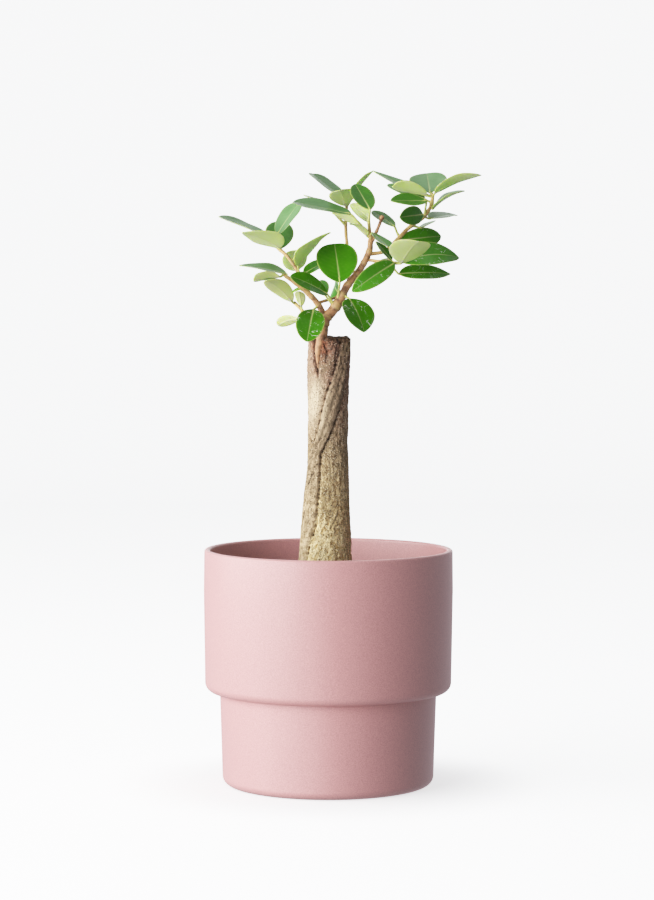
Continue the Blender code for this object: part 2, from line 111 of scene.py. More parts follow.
# Leaves
BLADE_THICKNESS = 0.75 * MM
BLADE_ROWS = 34
BLADE_COLUMNS = [0.0, 0.04, 0.09, 0.17, 0.28, 0.42, 0.57, 0.71, 0.83, 0.92, 0.975, 1.0]
STALK_RADIUS = 0.9 * MM
STALK_REACH = 0.12
BLADE_FOLD = 0.16
TIP_HALF_WIDTH = 0.6 * MM
FOOT_FULLNESS = 0.6
FIRST_ROW = 0.12
SIDE_VEIN_SPACING = 3.8 * MM
LEAF_SCAR_SPACING = 11 * MM

Leaf = namedtuple("Leaf", "share stalk heading lift length width roll point arch tone marks film",
                  defaults=(0.5, 0.0, 0.0))
# share    place along its twig, 0 at the foot and 1 at the tip
# stalk    from the twig's middle to the foot of the blade: x, y, z in mm
# heading  degrees round from +X towards +Y, as seen from above
# lift     degrees above level
# length, width in mm
# roll     degrees that the blade is turned about its midrib
# point    0.4 for a round end to 0.9 for a pointed one
# arch     rise of the midrib over its chord, as a share of the length
# tone     0 for a young, pale leaf to 1 for an old, dark one
# marks    0 for a clean blade to 1 for one with dried white splashes
# film 0 for clear wax to 1 for a blade greyed by a sheen painted into its colour

# Each twig's route is x, y, z and radius in mm
RIGHT_ROUTE = [(-8.8, -14.4, 352, 0.8), (-9.1, -14.3, 360, 1.9), (-8.2, -13.5, 369, 3.4), (-5.8, -12.5, 378, 4.4),
               (-4.6, -11.3, 387, 4.2), (-2.4, -10, 394, 4.4), (4, -9, 401, 4.0), (9.5, -8, 410, 3.8),
               (15, -6, 420, 3.2), (21, -4, 428, 2.9), (26, -3, 434, 2.8), (31, -2, 443, 2.6),
               (34, -1, 451, 2.4), (35, 0, 460, 2.1)]
STUB_ROUTE = [(34.6, 0, 456, 1.6), (38, -1, 462, 1.4), (43, -3.5, 474, 1.3), (44, -4, 477, 2.3), (45, -4.5, 479, 1.4)]
LEFT_ROUTE = [(-3, -10, 393, 2.6), (-9, -12, 405, 2.4), (-18, -14, 415, 2.1), (-27, -17, 422, 1.8),
              (-35, -20, 428, 1.5), (-38, -21, 430, 1.3)]
CROSS_ROUTE = [(-10, -12, 406, 1.2), (-3, -3, 408, 1.2), (4, 4, 410, 1.1), (8, 9, 412, 1.0)]
UPPER_LEFT_ROUTE = [(-17, -14, 415, 1.6), (-26, -6, 432, 1.5), (-35, 2, 445, 1.4), (-43, 8, 452, 1.5)]
LOWER_LEFT_ROUTE = [(-6, -11, 386, 1.8), (-13, -3, 391, 1.7), (-20, 4, 395, 1.5), (-23, 9, 400, 1.4),
                    (-29, 14, 406, 1.4)]
TOP_ROUTE = [(35, 0, 459, 1.7), (34, -4, 465, 1.5), (33, -8, 474, 1.2)]
FAR_RIGHT_ROUTE = [(34, -1, 447, 1.5), (46, 1, 449, 1.5), (51, 4, 453, 1.5), (57, 7, 459, 1.6),
                   (68, 12, 470, 1.6), (79, 15, 478, 1.6), (85, 17, 486, 1.6), (87, 18, 493, 1.5),
                   (87, 18, 498, 1.3)]
LOWER_RIGHT_ROUTE = [(33, -2, 442, 1.2), (43, -8, 441, 1.0), (49, -12, 440.5, 1.0), (56, -16, 439.5, 1.3)]
BACK_ROUTE = [(16, -5, 421, 1.4), (17, 10, 438, 1.3), (15, 22, 456, 1.3), (14, 34, 474, 1.3),
              (15, 42, 488, 1.2)]

RIGHT_LEAVES = [
    Leaf(0.31, (2, 7, 5), 85, 2, 30, 24, -20, 0.50, 0.09, 0.4),
    Leaf(0.46, (-7, -6, 10), -168, 25, 35, 24, -37, 0.55, 0.04, 0.35, 0.2),
    Leaf(0.45, (-8, 4, 10), 100, 27, 27, 11, -21, 0.60, 0.02, 0.8),
    Leaf(0.48, (2, -5, 18), 106, 63, 36, 35, -10, 0.45, 0.03, 0.55),
    Leaf(0.56, (5, -7, -4), -46, -57, 33, 32, 6, 0.70, 0.06, 0.3, 1),
]
LEFT_LEAVES = [
    Leaf(0.25, (-4, -4, -4), -101, -43, 38, 24, -11, 0.50, 0.09, 0.75, 0.9),
    Leaf(0.94, (0, -1, 2), 174, 10, 40, 26, -12, 0.85, 0.03, 0.7, 0, 0.3),
    Leaf(1.00, (-3, -2, -2), -174, -7, 22, 21, 23, 0.35, 0.04, 0.1),
    Leaf(0.52, (-3, -2, 3), 175, -20, 10, 5, -30, 0.60, 0.10, 0),
]
CROSS_LEAF = Leaf(1.00, (0, 1, 3), 90, 18, 32, 26, -77, 0.60, 0.09, 0.3)
UPPER_LEFT_LEAVES = [
    Leaf(0.96, (-9, 3, 11), 170, 21, 46, 28, -6, 0.40, 0.00, 0.7, 0, 0.32),
    Leaf(1.00, (2, -4, 0), -143, 18, 41, 33, 13, 0.90, 0.04, 0.2),
    Leaf(0.98, (-1, 1, 12), 23, 53, 34, 26, 12, 0.50, 0.02, 0.8, 0, 0.38),
    Leaf(0.93, (-2, 6, 1), 88, 43, 34, 24, 7, 0.50, 0.00, 0.7, 0, 0.1),
    Leaf(0.39, (0, -2, 6), -33, 41, 42, 34, 9, 0.85, 0.07, 0.3),
    Leaf(0.62, (5, 5, 10), 98, -32, 32, 21, -1, 0.35, 0.10, 0.7),
    Leaf(0.37, (4, 5, 0), 10, 30, 21, 20, 22, 0.65, 0.00, 0.8),
]
LOWER_LEFT_LEAVES = [
    Leaf(1.00, (-2, -5, 1), -120, 23, 46, 17, 23, 0.60, 0.07, 0.1),
    Leaf(0.72, (-1, 0, 4), -96, 33, 23, 9, -5, 0.50, 0.07, 0.3),
    Leaf(0.66, (-4, 4, -5), 130, -12, 28, 12, 39, 0.35, 0.08, 0.1),
]
TOP_LEAVES = [
    Leaf(0.30, (-16, -2, 17), 165, 12, 51, 31, -15, 0.40, 0.00, 0.9, 0, 0.2),
    Leaf(0.22, (-4, 4, 5), 155, 25, 34, 21, 27, 0.75, 0.03, 0.1),
    Leaf(0.16, (-3, -1, 1), -122, 19, 29, 11, -6, 0.65, 0.09, 0.1),
    Leaf(0.34, (2, -5, 1), -58, -25, 28, 15, -6, 0.35, 0.00, 0.3, 0, 0.15),
    Leaf(1.00, (1, 0, 10), 114, 36, 37, 19, -10, 0.60, 0.00, 1),
    Leaf(0.95, (0, 5, 3), 113, 18, 41, 11, 107, 0.45, 0.12, 0.5),
]
FAR_RIGHT_LEAVES = [
    Leaf(0.34, (3, 1, 0), 38, 5, 45, 17, 76, 0.60, 0.05, 0.2, 0.25),
    Leaf(0.39, (-4, 5, 9), 120, 21, 38, 12, -14, 0.50, 0.00, 0.7, 0.7, 0.2),
    Leaf(0.73, (-1, -8, 2), -127, -5, 33, 16, -83, 0.55, 0.04, 0.6, 0.2),
    Leaf(0.75, (1, -4, 12), -160, 0, 32, 22, -29, 0.70, 0.00, 0.6, 0, 0.08),
    Leaf(0.91, (-6, 5, 3), 136, 17, 44, 15, -19, 0.50, 0.00, 0.7, 0, 0.15),
    Leaf(0.98, (-5, -2, 1), -165, 14, 30, 22, 22, 0.35, 0.02, 0.2),
    Leaf(0.97, (-9, 5, 2), 149, 23, 52, 17, -10, 0.95, 0.00, 0.6, 0, 0.35),
    Leaf(1.00, (-2, 1, 1), 93, 27, 37, 32, -6, 0.50, 0.00, 0.8, 0, 0.36),
    Leaf(0.98, (2, -2, 2), -30, 19, 45, 24, -7, 0.40, 0.06, 0.4),
    Leaf(0.89, (1, -2, -4), -11, 29, 31, 36, 8, 0.95, 0.08, 0.4, 0, 0.3),
    Leaf(0.74, (5, 3, -2), 46, 6, 33, 21, 12, 0.65, 0.03, 0.6, 0, 0.6),
    Leaf(0.58, (8, 4, -2), 68, 11, 31, 11, -12, 0.60, 0.00, 0.6, 0, 0.3),
]
LOWER_RIGHT_LEAVES = [
    Leaf(0.97, (-1, -3, 0), -143, -28, 50, 18, -62, 0.60, 0.10, 0, 0.4, 0.04),
    Leaf(0.97, (-3, 5, 2), 166, 49, 21, 14, -15, 0.70, 0.01, 0.9),
    Leaf(1.00, (4, -4, 0), -69, 26, 41, 34, -6, 0.55, 0.05, 0.2),
    Leaf(1.00, (5, 0, 1), 13, 4, 49, 27, 43, 0.70, 0.12, 0.5, 0.8, 0.05),
    Leaf(0.72, (9, -2, -10), 23, 0, 47, 19, 42, 0.80, 0.03, 0.6, 0.6),
    Leaf(0.19, (2, 2, -1), 62, -4, 22, 14, -13, 0.60, 0.05, 0.1, 0, 0.3),
]
BACK_LEAVES = [
    Leaf(1.00, (4, 2, 6), 25, 50, 31, 21, -31, 0.95, 0.04, 0.4),
    Leaf(1.00, (-1, -3, 0), -100, 22, 33, 22, 14, 0.65, 0.07, 0.4),
    Leaf(0.99, (-3, 2, 7), 137, 31, 42, 24, 4, 0.35, 0.00, 0.7, 0, 0.3),
    Leaf(0.77, (-15, 0, 16), 127, 16, 34, 16, 11, 0.55, 0.00, 0.5, 0, 0.4),
]


# Small helpers

def srgb(hex_colour):
    """A colour written as in a picture editor, turned to the linear values that a shader takes."""
    channels = [int(hex_colour[start:start + 2], 16) / 255 for start in (1, 3, 5)]
    linear = [c / 12.92 if c <= 0.04045 else ((c + 0.055) / 1.055) ** 2.4 for c in channels]
    return (*linear, 1.0)


def add_node(tree, kind, links=None, **settings):
    """A node with its settings, and its sockets as values or as other nodes' outputs."""
    added = tree.nodes.new(kind)
    for name, value in settings.items():
        setattr(added, name, value)
    for socket, value in (links or {}).items():
        if isinstance(value, bpy.types.NodeSocket):
            tree.links.new(value, added.inputs[socket])
        else:
            added.inputs[socket].default_value = value
    return added


def new_material(name):
    """A material with a bare Principled shader, and its tree."""
    material = bpy.data.materials.new(name)
    material.use_nodes = True
    return material, material.node_tree, material.node_tree.nodes["Principled BSDF"]


def value_at(pairs, place):
    """Straight-line value between (place, value) pairs in rising order of place."""
    for (start, first), (end, last) in zip(pairs, pairs[1:]):
        if place <= end:
            share = max(0.0, (place - start) / (end - start))
            return first + (last - first) * share
    return pairs[-1][1]


def arc(centre, radius, start, end, pieces=ROUNDING_PIECES):
    """Points on an arc in a profile's plane; angles in degrees from outwards to up."""
    points = []
    for step in range(pieces + 1):
        angle = math.radians(start + (end - start) * step / pieces)
        points.append((centre[0] + radius * math.cos(angle), centre[1] + radius * math.sin(angle)))
    return points


class Shape:
    """The points and faces of one piece, with the values that its finishes read at each point."""

    def __init__(self, *value_names):
        self.points = []
        self.faces = []
        self.finishes = []
        self.values = {name: [] for name in value_names}

    def add_point(self, place, **values):
        self.points.append(tuple(place))
        for name, kept in self.values.items():
            kept.append(values.get(name, 0.0))
        return len(self.points) - 1

    def add_face(self, corners, finish=0):
        self.faces.append(tuple(corners))
        self.finishes.append(finish)

    def bridge(self, first, second, finishes):
        """Faces between two loops of as many points, the finish of each face in turn."""
        count = len(first)
        for here in range(count):
            after = (here + 1) % count
            self.add_face((first[here], first[after], second[after], second[here]), finishes[here])

    def make(self, name, materials):
        mesh = bpy.data.meshes.new(name)
        mesh.from_pydata(self.points, [], self.faces)
        for material in materials:
            mesh.materials.append(material)
        mesh.polygons.foreach_set("material_index", self.finishes)
        for value_name, kept in self.values.items():
            attribute = mesh.attributes.new(value_name, "FLOAT", "POINT")
            attribute.data.foreach_set("value", kept)
        mesh.shade_smooth()
        mesh.update()
        piece = bpy.data.objects.new(name, mesh)
        bpy.context.scene.collection.objects.link(piece)
        return piece


def place_piece(piece, slot, *nodes):
    """Fixes a piece to the plant's one body, in place of its plain solids."""
    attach(piece, BODY)
    if nodes:
        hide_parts(*nodes)


# Finishes

def matt_pink_stoneware():
    """Stoneware with a dry, dusty pink engobe, fired matt: no gloss, only a soft bloom and fine grit."""
    material, tree, shader = new_material("matt_pink_stoneware")
    place = add_node(tree, "ShaderNodeTexCoord").outputs["Object"]
    cloud = add_node(tree, "ShaderNodeTexNoise", {"Vector": place, "Scale": 1 / 0.06, "Detail": 3.0})
    # Grit of 0.4 mm is under a pixel here, so it is drawn 0.9 mm across
    grit = add_node(tree, "ShaderNodeTexNoise", {"Vector": place, "Scale": 1 / (0.9 * MM), "Detail": 2.0})
    body = add_node(tree, "ShaderNodeMixRGB", {0: cloud.outputs["Fac"], 1: srgb("#c58b89"),
                                               2: srgb("#cc9290")})
    speck = add_node(tree, "ShaderNodeMapRange", {0: grit.outputs["Fac"], 1: 0.30, 2: 0.70})
    speckled = add_node(tree, "ShaderNodeMixRGB", {0: speck.outputs[0], 1: srgb("#b0777a"),
                                                   2: srgb("#dea29f")})
    mixed = add_node(tree, "ShaderNodeMixRGB", {0: 0.5, 1: body.outputs[0], 2: speckled.outputs[0]})
    bump = add_node(tree, "ShaderNodeBump", {"Strength": 0.12, "Distance": 0.2 * MM,
                                             "Height": grit.outputs["Fac"]})
    tree.links.new(mixed.outputs[0], shader.inputs["Base Color"])
    tree.links.new(bump.outputs[0], shader.inputs["Normal"])
    shader.inputs["Roughness"].default_value = 0.42
    shader.inputs["Specular IOR Level"].default_value = 0.6
    return material


def potting_soil():
    """Loose peat and bark compost: dark, dry on top, each crumb a little different."""
    material, tree, shader = new_material("potting_soil")
    place = add_node(tree, "ShaderNodeTexCoord").outputs["Object"]
    tone = add_node(tree, "ShaderNodeAttribute", attribute_name="tone").outputs["Fac"]
    grain = add_node(tree, "ShaderNodeTexNoise", {"Vector": place, "Scale": 1 / (1.5 * MM), "Detail": 4.0})
    dark = add_node(tree, "ShaderNodeMixRGB", {0: grain.outputs["Fac"], 1: srgb("#1d130d"),
                                               2: srgb("#4a3526")})
    mixed = add_node(tree, "ShaderNodeMixRGB", {0: tone, 1: dark.outputs[0], 2: srgb("#6b4d35")})
    bump = add_node(tree, "ShaderNodeBump", {"Strength": 0.6, "Distance": 0.6 * MM,
                                             "Height": grain.outputs["Fac"]})
    tree.links.new(mixed.outputs[0], shader.inputs["Base Color"])
    tree.links.new(bump.outputs[0], shader.inputs["Normal"])
    shader.inputs["Roughness"].default_value = 0.95
    shader.inputs["Specular IOR Level"].default_value = 0.2
    return material


def ficus_bark():
    """Thin ficus bark with pale breathing pores: dry and matt, corky and paler low down, partly by painted light,
    with a painted highlight on the side that faces the key light.
    """
    material, tree, shader = new_material("ficus_bark")
    place = add_node(tree, "ShaderNodeTexCoord").outputs["Object"]
    fissure = add_node(tree, "ShaderNodeAttribute", attribute_name="fissure").outputs["Fac"]
    bleach = add_node(tree, "ShaderNodeAttribute", attribute_name="bleach").outputs["Fac"]
    smooth_root = add_node(tree, "ShaderNodeAttribute", attribute_name="root").outputs["Fac"]
    height = add_node(tree, "ShaderNodeAttribute", attribute_name="height").outputs["Fac"]
    sawn = add_node(tree, "ShaderNodeAttribute", attribute_name="sawn").outputs["Fac"]
    shoot = add_node(tree, "ShaderNodeAttribute", attribute_name="shoot").outputs["Fac"]

    # From corky yellow at the soil over grey-tan to the pink-brown of the top; the pale foot is partly the bark's own
    # colour and partly painted light that lifts the low trunk where the pot's rim shades it
    corky = add_node(tree, "ShaderNodeValToRGB", {"Fac": height})
    skin = add_node(tree, "ShaderNodeValToRGB", {"Fac": height})
    tones = ((0.0, "#a5854f", "#fbe6b4"), (0.25, "#8f7149", "#ecd09c"), (0.55, "#6b563e", "#bfa481"),
             (0.8, "#644737", "#bf9a82"), (1.0, "#4f342a", "#b08570"))
    for ramp, column in ((corky, 1), (skin, 2)):
        while len(ramp.color_ramp.elements) < len(tones):
            ramp.color_ramp.elements.new(0.5)
        for stop, tone in zip(ramp.color_ramp.elements, tones):
            stop.position = tone[0]
            stop.color = srgb(tone[column])
    squashed = add_node(tree, "ShaderNodeMapping", {"Vector": place, "Scale": (1.0, 1.0, 0.5)})
    fibre = add_node(tree, "ShaderNodeTexNoise", {"Vector": squashed.outputs[0], "Scale": 1 / (2.2 * MM),
                                                  "Detail": 5.0, "Roughness": 0.7})
    contrast = add_node(tree, "ShaderNodeMapRange", {0: fibre.outputs["Fac"], 1: 0.39, 2: 0.61})
    plain = add_node(tree, "ShaderNodeMixRGB", {0: contrast.outputs[0], 1: corky.outputs[0],
                                                2: skin.outputs[0]})
    patch = add_node(tree, "ShaderNodeTexNoise", {"Vector": place, "Scale": 1 / (13 * MM), "Detail": 4.0,
                                                  "Roughness": 0.6})
    patch_mask = add_node(tree, "ShaderNodeMapRange", {0: patch.outputs["Fac"], 1: 0.45, 2: 0.70, 4: 0.6})
    patched = add_node(tree, "ShaderNodeMixRGB", {0: patch_mask.outputs[0], 1: plain.outputs[0],
                                                  2: srgb("#6b5c43")})
    root_dark = add_node(tree, "ShaderNodeMixRGB", {0: height, 1: srgb("#8b785c"), 2: srgb("#4b3f30")})
    root_pale = add_node(tree, "ShaderNodeMixRGB", {0: height, 1: srgb("#ccb093"), 2: srgb("#907a60")})
    root_tone = add_node(tree, "ShaderNodeMixRGB", {0: contrast.outputs[0], 1: root_dark.outputs[0],
                                                    2: root_pale.outputs[0]})
    part_root = add_node(tree, "ShaderNodeMath", {0: smooth_root, 1: 0.75}, operation="MULTIPLY")
    with_root = add_node(tree, "ShaderNodeMixRGB", {0: part_root.outputs[0], 1: patched.outputs[0],
                                                    2: root_tone.outputs[0]})
    # Painted highlight: pale cream laid on the side of the trunk that faces the key light
    bleached = add_node(tree, "ShaderNodeMixRGB", {0: bleach, 1: with_root.outputs[0], 2: srgb("#d5bd9c")})

    # Pores are 0.5 to 1 mm across and about 1.9 mm apart, fewer on the smooth root
    flat = add_node(tree, "ShaderNodeMapping", {"Vector": place, "Scale": (1.0, 1.0, 1.4)})
    pore = add_node(tree, "ShaderNodeTexVoronoi", {"Vector": flat.outputs[0], "Scale": 1 / (1.9 * MM)})
    pore_mask = add_node(tree, "ShaderNodeMapRange", {0: pore.outputs["Distance"], 1: 0.42, 2: 0.24})
    pick = add_node(tree, "ShaderNodeSeparateColor", {0: pore.outputs["Color"]})
    fewer = add_node(tree, "ShaderNodeMapRange", {0: smooth_root, 3: 0.35, 4: 0.85})
    picked = add_node(tree, "ShaderNodeMath", {0: pick.outputs[0], 1: fewer.outputs[0]},
                      operation="GREATER_THAN")
    pores = add_node(tree, "ShaderNodeMath", {0: pore_mask.outputs[0], 1: picked.outputs[0]},
                     operation="MULTIPLY")
    dots = add_node(tree, "ShaderNodeMixRGB", {0: height, 1: srgb("#ead9ae"), 2: srgb("#dcbfa9")})
    dotted = add_node(tree, "ShaderNodeMixRGB", {0: pores.outputs[0], 1: bleached.outputs[0],
                                                 2: dots.outputs[0]})
    chip = add_node(tree, "ShaderNodeTexNoise", {"Vector": place, "Scale": 1 / (1.1 * MM), "Detail": 2.0})
    chip_mask = add_node(tree, "ShaderNodeMapRange", {0: chip.outputs["Fac"], 1: 0.60, 2: 0.70, 4: 0.8})
    chipped = add_node(tree, "ShaderNodeMixRGB", {0: chip_mask.outputs[0], 1: dotted.outputs[0],
                                                  2: srgb("#3b2c1e")})
    red = add_node(tree, "ShaderNodeMixRGB", {0: contrast.outputs[0], 1: srgb("#4c2718"),
                                              2: srgb("#a5694c")})
    reddened = add_node(tree, "ShaderNodeMixRGB", {0: shoot, 1: chipped.outputs[0], 2: red.outputs[0]})
    sawn_tone = add_node(tree, "ShaderNodeMixRGB", {0: contrast.outputs[0], 1: srgb("#1f1612"),
                                                    2: srgb("#6f513e")})
    with_saw = add_node(tree, "ShaderNodeMixRGB", {0: sawn, 1: reddened.outputs[0], 2: sawn_tone.outputs[0]})
    # Painted shade: near-black laid into the cracks, grooves and cleft
    with_painted_crack_shade = add_node(tree, "ShaderNodeMixRGB", {0: fissure, 1: with_saw.outputs[0], 2: srgb("#1c130d")})
    rough = add_node(tree, "ShaderNodeMath", {0: fibre.outputs["Fac"], 1: pores.outputs[0]},
                     operation="ADD")
    rougher = add_node(tree, "ShaderNodeMath", {0: rough.outputs[0], 1: chip_mask.outputs[0]},
                       operation="SUBTRACT")
    bump = add_node(tree, "ShaderNodeBump", {"Strength": 1.0, "Distance": 0.7 * MM,
                                             "Height": rougher.outputs[0]})
    tree.links.new(with_painted_crack_shade.outputs[0], shader.inputs["Base Color"])
    tree.links.new(bump.outputs[0], shader.inputs["Normal"])
    shader.inputs["Roughness"].default_value = 0.88
    shader.inputs["Specular IOR Level"].default_value = 0.25
    return material


def young_ficus_wood():
    """Twigs from green stalk to red-brown wood: a thin skin with one satin roughness throughout."""
    material, tree, shader = new_material("young_ficus_wood")
    place = add_node(tree, "ShaderNodeTexCoord").outputs["Object"]
    age = add_node(tree, "ShaderNodeAttribute", attribute_name="age").outputs["Fac"]
    ring = add_node(tree, "ShaderNodeAttribute", attribute_name="ring").outputs["Fac"]
    skin = add_node(tree, "ShaderNodeTexNoise", {"Vector": place, "Scale": 1 / (2.5 * MM), "Detail": 4.0})
    stain = add_node(tree, "ShaderNodeTexNoise", {"Vector": place, "Scale": 1 / (6 * MM), "Detail": 4.0})
    green_part = add_node(tree, "ShaderNodeMapRange", {0: age, 1: 0.05, 2: 0.40})
    tan_part = add_node(tree, "ShaderNodeMapRange", {0: age, 1: 0.40, 2: 0.80})
    young = add_node(tree, "ShaderNodeMixRGB", {0: green_part.outputs[0], 1: srgb("#bcc46a"),
                                                2: srgb("#d0a568")})
    old = add_node(tree, "ShaderNodeMixRGB", {0: skin.outputs["Fac"], 1: srgb("#9a6440"),
                                              2: srgb("#cb9870")})
    aged = add_node(tree, "ShaderNodeMixRGB", {0: tan_part.outputs[0], 1: young.outputs[0],
                                               2: old.outputs[0]})
    dark_mask = add_node(tree, "ShaderNodeMapRange", {0: stain.outputs["Fac"], 1: 0.47, 2: 0.62})
    dark_share = add_node(tree, "ShaderNodeMath", {0: dark_mask.outputs[0], 1: age}, operation="MULTIPLY")
    stained = add_node(tree, "ShaderNodeMixRGB", {0: dark_share.outputs[0], 1: aged.outputs[0],
                                                  2: srgb("#5b3a25")})
    ringed = add_node(tree, "ShaderNodeMixRGB", {0: ring, 1: stained.outputs[0], 2: srgb("#cfc07c")})
    bump = add_node(tree, "ShaderNodeBump", {"Strength": 0.35, "Distance": 0.2 * MM,
                                             "Height": skin.outputs["Fac"]})
    tree.links.new(ringed.outputs[0], shader.inputs["Base Color"])
    tree.links.new(bump.outputs[0], shader.inputs["Normal"])
    shader.inputs["Roughness"].default_value = 0.55
    return material


def waxy_leaf_top():
    """The upper side of a thick ficus leaf: deep green under a clear wax, with a pale sunk midrib."""
    material, tree, shader = new_material("waxy_leaf_top")
    place = add_node(tree, "ShaderNodeTexCoord").outputs["Object"]
    midrib = add_node(tree, "ShaderNodeAttribute", attribute_name="midrib").outputs["Fac"]
    vein = add_node(tree, "ShaderNodeAttribute", attribute_name="vein").outputs["Fac"]
    margin = add_node(tree, "ShaderNodeAttribute", attribute_name="margin").outputs["Fac"]
    tone = add_node(tree, "ShaderNodeAttribute", attribute_name="tone").outputs["Fac"]
    marks = add_node(tree, "ShaderNodeAttribute", attribute_name="marks").outputs["Fac"]
    cloud = add_node(tree, "ShaderNodeTexNoise", {"Vector": place, "Scale": 1 / (11 * MM), "Detail": 3.0})
    fine = add_node(tree, "ShaderNodeTexNoise", {"Vector": place, "Scale": 1 / (1.4 * MM), "Detail": 3.0})
    bright = add_node(tree, "ShaderNodeMixRGB", {0: cloud.outputs["Fac"], 1: srgb("#347f00"),
                                                 2: srgb("#529906")})
    deep = add_node(tree, "ShaderNodeMixRGB", {0: cloud.outputs["Fac"], 1: srgb("#255c04"),
                                               2: srgb("#3f7a0c")})
    green = add_node(tree, "ShaderNodeMixRGB", {0: tone, 1: bright.outputs[0], 2: deep.outputs[0]})
    faint = add_node(tree, "ShaderNodeMath", {0: vein, 1: 0.07}, operation="MULTIPLY")
    veined = add_node(tree, "ShaderNodeMixRGB", {0: faint.outputs[0], 1: green.outputs[0],
                                                 2: srgb("#8fb455")})
    ribbed = add_node(tree, "ShaderNodeMixRGB", {0: midrib, 1: veined.outputs[0], 2: srgb("#c3cf84")})
    edged = add_node(tree, "ShaderNodeMixRGB", {0: margin, 1: ribbed.outputs[0], 2: srgb("#a9bd5c")})
    splash = add_node(tree, "ShaderNodeTexNoise", {"Vector": place, "Scale": 1 / (9 * MM), "Detail": 3.0,
                                                   "Roughness": 0.55, "Distortion": 0.6})
    # A dried splash leaves a white line about 0.5 mm wide along its edge
    off_edge = add_node(tree, "ShaderNodeMath", {0: splash.outputs["Fac"], 1: 0.53, 2: 0.007},
                        operation="COMPARE")
    patch = add_node(tree, "ShaderNodeMapRange", {0: cloud.outputs["Fac"], 1: 0.50, 2: 0.56})
    masked = add_node(tree, "ShaderNodeMath", {0: off_edge.outputs[0], 1: patch.outputs[0]},
                      operation="MULTIPLY")
    white = add_node(tree, "ShaderNodeMath", {0: masked.outputs[0], 1: marks}, operation="MULTIPLY")
    marked = add_node(tree, "ShaderNodeMixRGB", {0: white.outputs[0], 1: edged.outputs[0],
                                                 2: srgb("#e4ead6")})
    # Painted sheen: the grey-green of a reflection at a grazing angle, laid into the blade's colour
    film = add_node(tree, "ShaderNodeAttribute", attribute_name="film").outputs["Fac"]
    painted_sheen_grey = add_node(tree, "ShaderNodeMixRGB", {0: cloud.outputs["Fac"], 1: srgb("#7a9a74"),
                                               2: srgb("#a9bda4")})
    with_painted_sheen = add_node(tree, "ShaderNodeMixRGB", {0: film, 1: marked.outputs[0], 2: painted_sheen_grey.outputs[0]})
    bump = add_node(tree, "ShaderNodeBump", {"Strength": 0.15, "Distance": 0.15 * MM,
                                             "Height": fine.outputs["Fac"]})
    tree.links.new(with_painted_sheen.outputs[0], shader.inputs["Base Color"])
    tree.links.new(bump.outputs[0], shader.inputs["Normal"])
    shader.inputs["Roughness"].default_value = 0.34
    shader.inputs["IOR"].default_value = 1.46
    shader.inputs["Specular IOR Level"].default_value = 0.12
    return material


def pale_leaf_underside():
    """The underside: matt yellow-green that lets light through, with a raised cream midrib and fine net."""
    material, tree, shader = new_material("pale_leaf_underside")
    place = add_node(tree, "ShaderNodeTexCoord").outputs["Object"]
    midrib = add_node(tree, "ShaderNodeAttribute", attribute_name="midrib").outputs["Fac"]
    vein = add_node(tree, "ShaderNodeAttribute", attribute_name="vein").outputs["Fac"]
    margin = add_node(tree, "ShaderNodeAttribute", attribute_name="margin").outputs["Fac"]
    tone = add_node(tree, "ShaderNodeAttribute", attribute_name="tone").outputs["Fac"]
    net = add_node(tree, "ShaderNodeTexVoronoi", {"Vector": place, "Scale": 1 / (1.3 * MM)},
                   feature="DISTANCE_TO_EDGE")
    cloud = add_node(tree, "ShaderNodeTexNoise", {"Vector": place, "Scale": 1 / (9 * MM), "Detail": 3.0})
    young = add_node(tree, "ShaderNodeMixRGB", {0: cloud.outputs["Fac"], 1: srgb("#d2e086"),
                                                2: srgb("#e2eca6")})
    old = add_node(tree, "ShaderNodeMixRGB", {0: cloud.outputs["Fac"], 1: srgb("#96b25a"),
                                              2: srgb("#b2c878")})
    green = add_node(tree, "ShaderNodeMixRGB", {0: tone, 1: young.outputs[0], 2: old.outputs[0]})
    net_mask = add_node(tree, "ShaderNodeMapRange", {0: net.outputs["Distance"], 1: 0.0, 2: 0.12, 3: 0.22,
                                                     4: 0.0})
    netted = add_node(tree, "ShaderNodeMixRGB", {0: net_mask.outputs[0], 1: green.outputs[0],
                                                 2: srgb("#d5dcae")})
    faint = add_node(tree, "ShaderNodeMath", {0: vein, 1: 0.35}, operation="MULTIPLY")
    veined = add_node(tree, "ShaderNodeMixRGB", {0: faint.outputs[0], 1: netted.outputs[0],
                                                 2: srgb("#d9deb0")})
    ribbed = add_node(tree, "ShaderNodeMixRGB", {0: midrib, 1: veined.outputs[0], 2: srgb("#dfe0b0")})
    edged = add_node(tree, "ShaderNodeMixRGB", {0: margin, 1: ribbed.outputs[0], 2: srgb("#cfd795")})
    tree.links.new(edged.outputs[0], shader.inputs["Base Color"])
    shader.inputs["Roughness"].default_value = 0.55
    shader.inputs["IOR"].default_value = 1.46
    # Light from above comes through 0.75 mm of blade, and yellow-green
    shader.inputs["Subsurface Weight"].default_value = 0.85
    shader.inputs["Subsurface Radius"].default_value = (0.8, 1.0, 0.35)
    shader.inputs["Subsurface Scale"].default_value = 1.6 * MM
    return material


# The pot and its soil

def turned(name, profile, steps):
    """A solid of revolution from a profile that runs from the axis over the outside back to the axis."""
    mesh = bpy.data.meshes.new(name)
    points = [(radius, 0.0, height) for radius, height in profile]
    mesh.from_pydata(points, [(index, index + 1) for index in range(len(points) - 1)], [])
    source = bpy.data.objects.new(name, mesh)
    bpy.context.scene.collection.objects.link(source)
    screw = source.modifiers.new("turn", "SCREW")
    screw.steps = steps
    screw.render_steps = steps
    screw.use_merge_vertices = True
    screw.merge_threshold = 0.01 * MM
    depsgraph = bpy.context.evaluated_depsgraph_get()
    source.data = bpy.data.meshes.new_from_object(source.evaluated_get(depsgraph))
    source.modifiers.clear()
    bm = bmesh.new()
    bm.from_mesh(source.data)
    bmesh.ops.remove_doubles(bm, verts=bm.verts, dist=0.01 * MM)
    bm.to_mesh(source.data)
    bm.free()
    source.data.shade_smooth()
    source.data.set_sharp_from_angle(angle=math.radians(40))
    return source


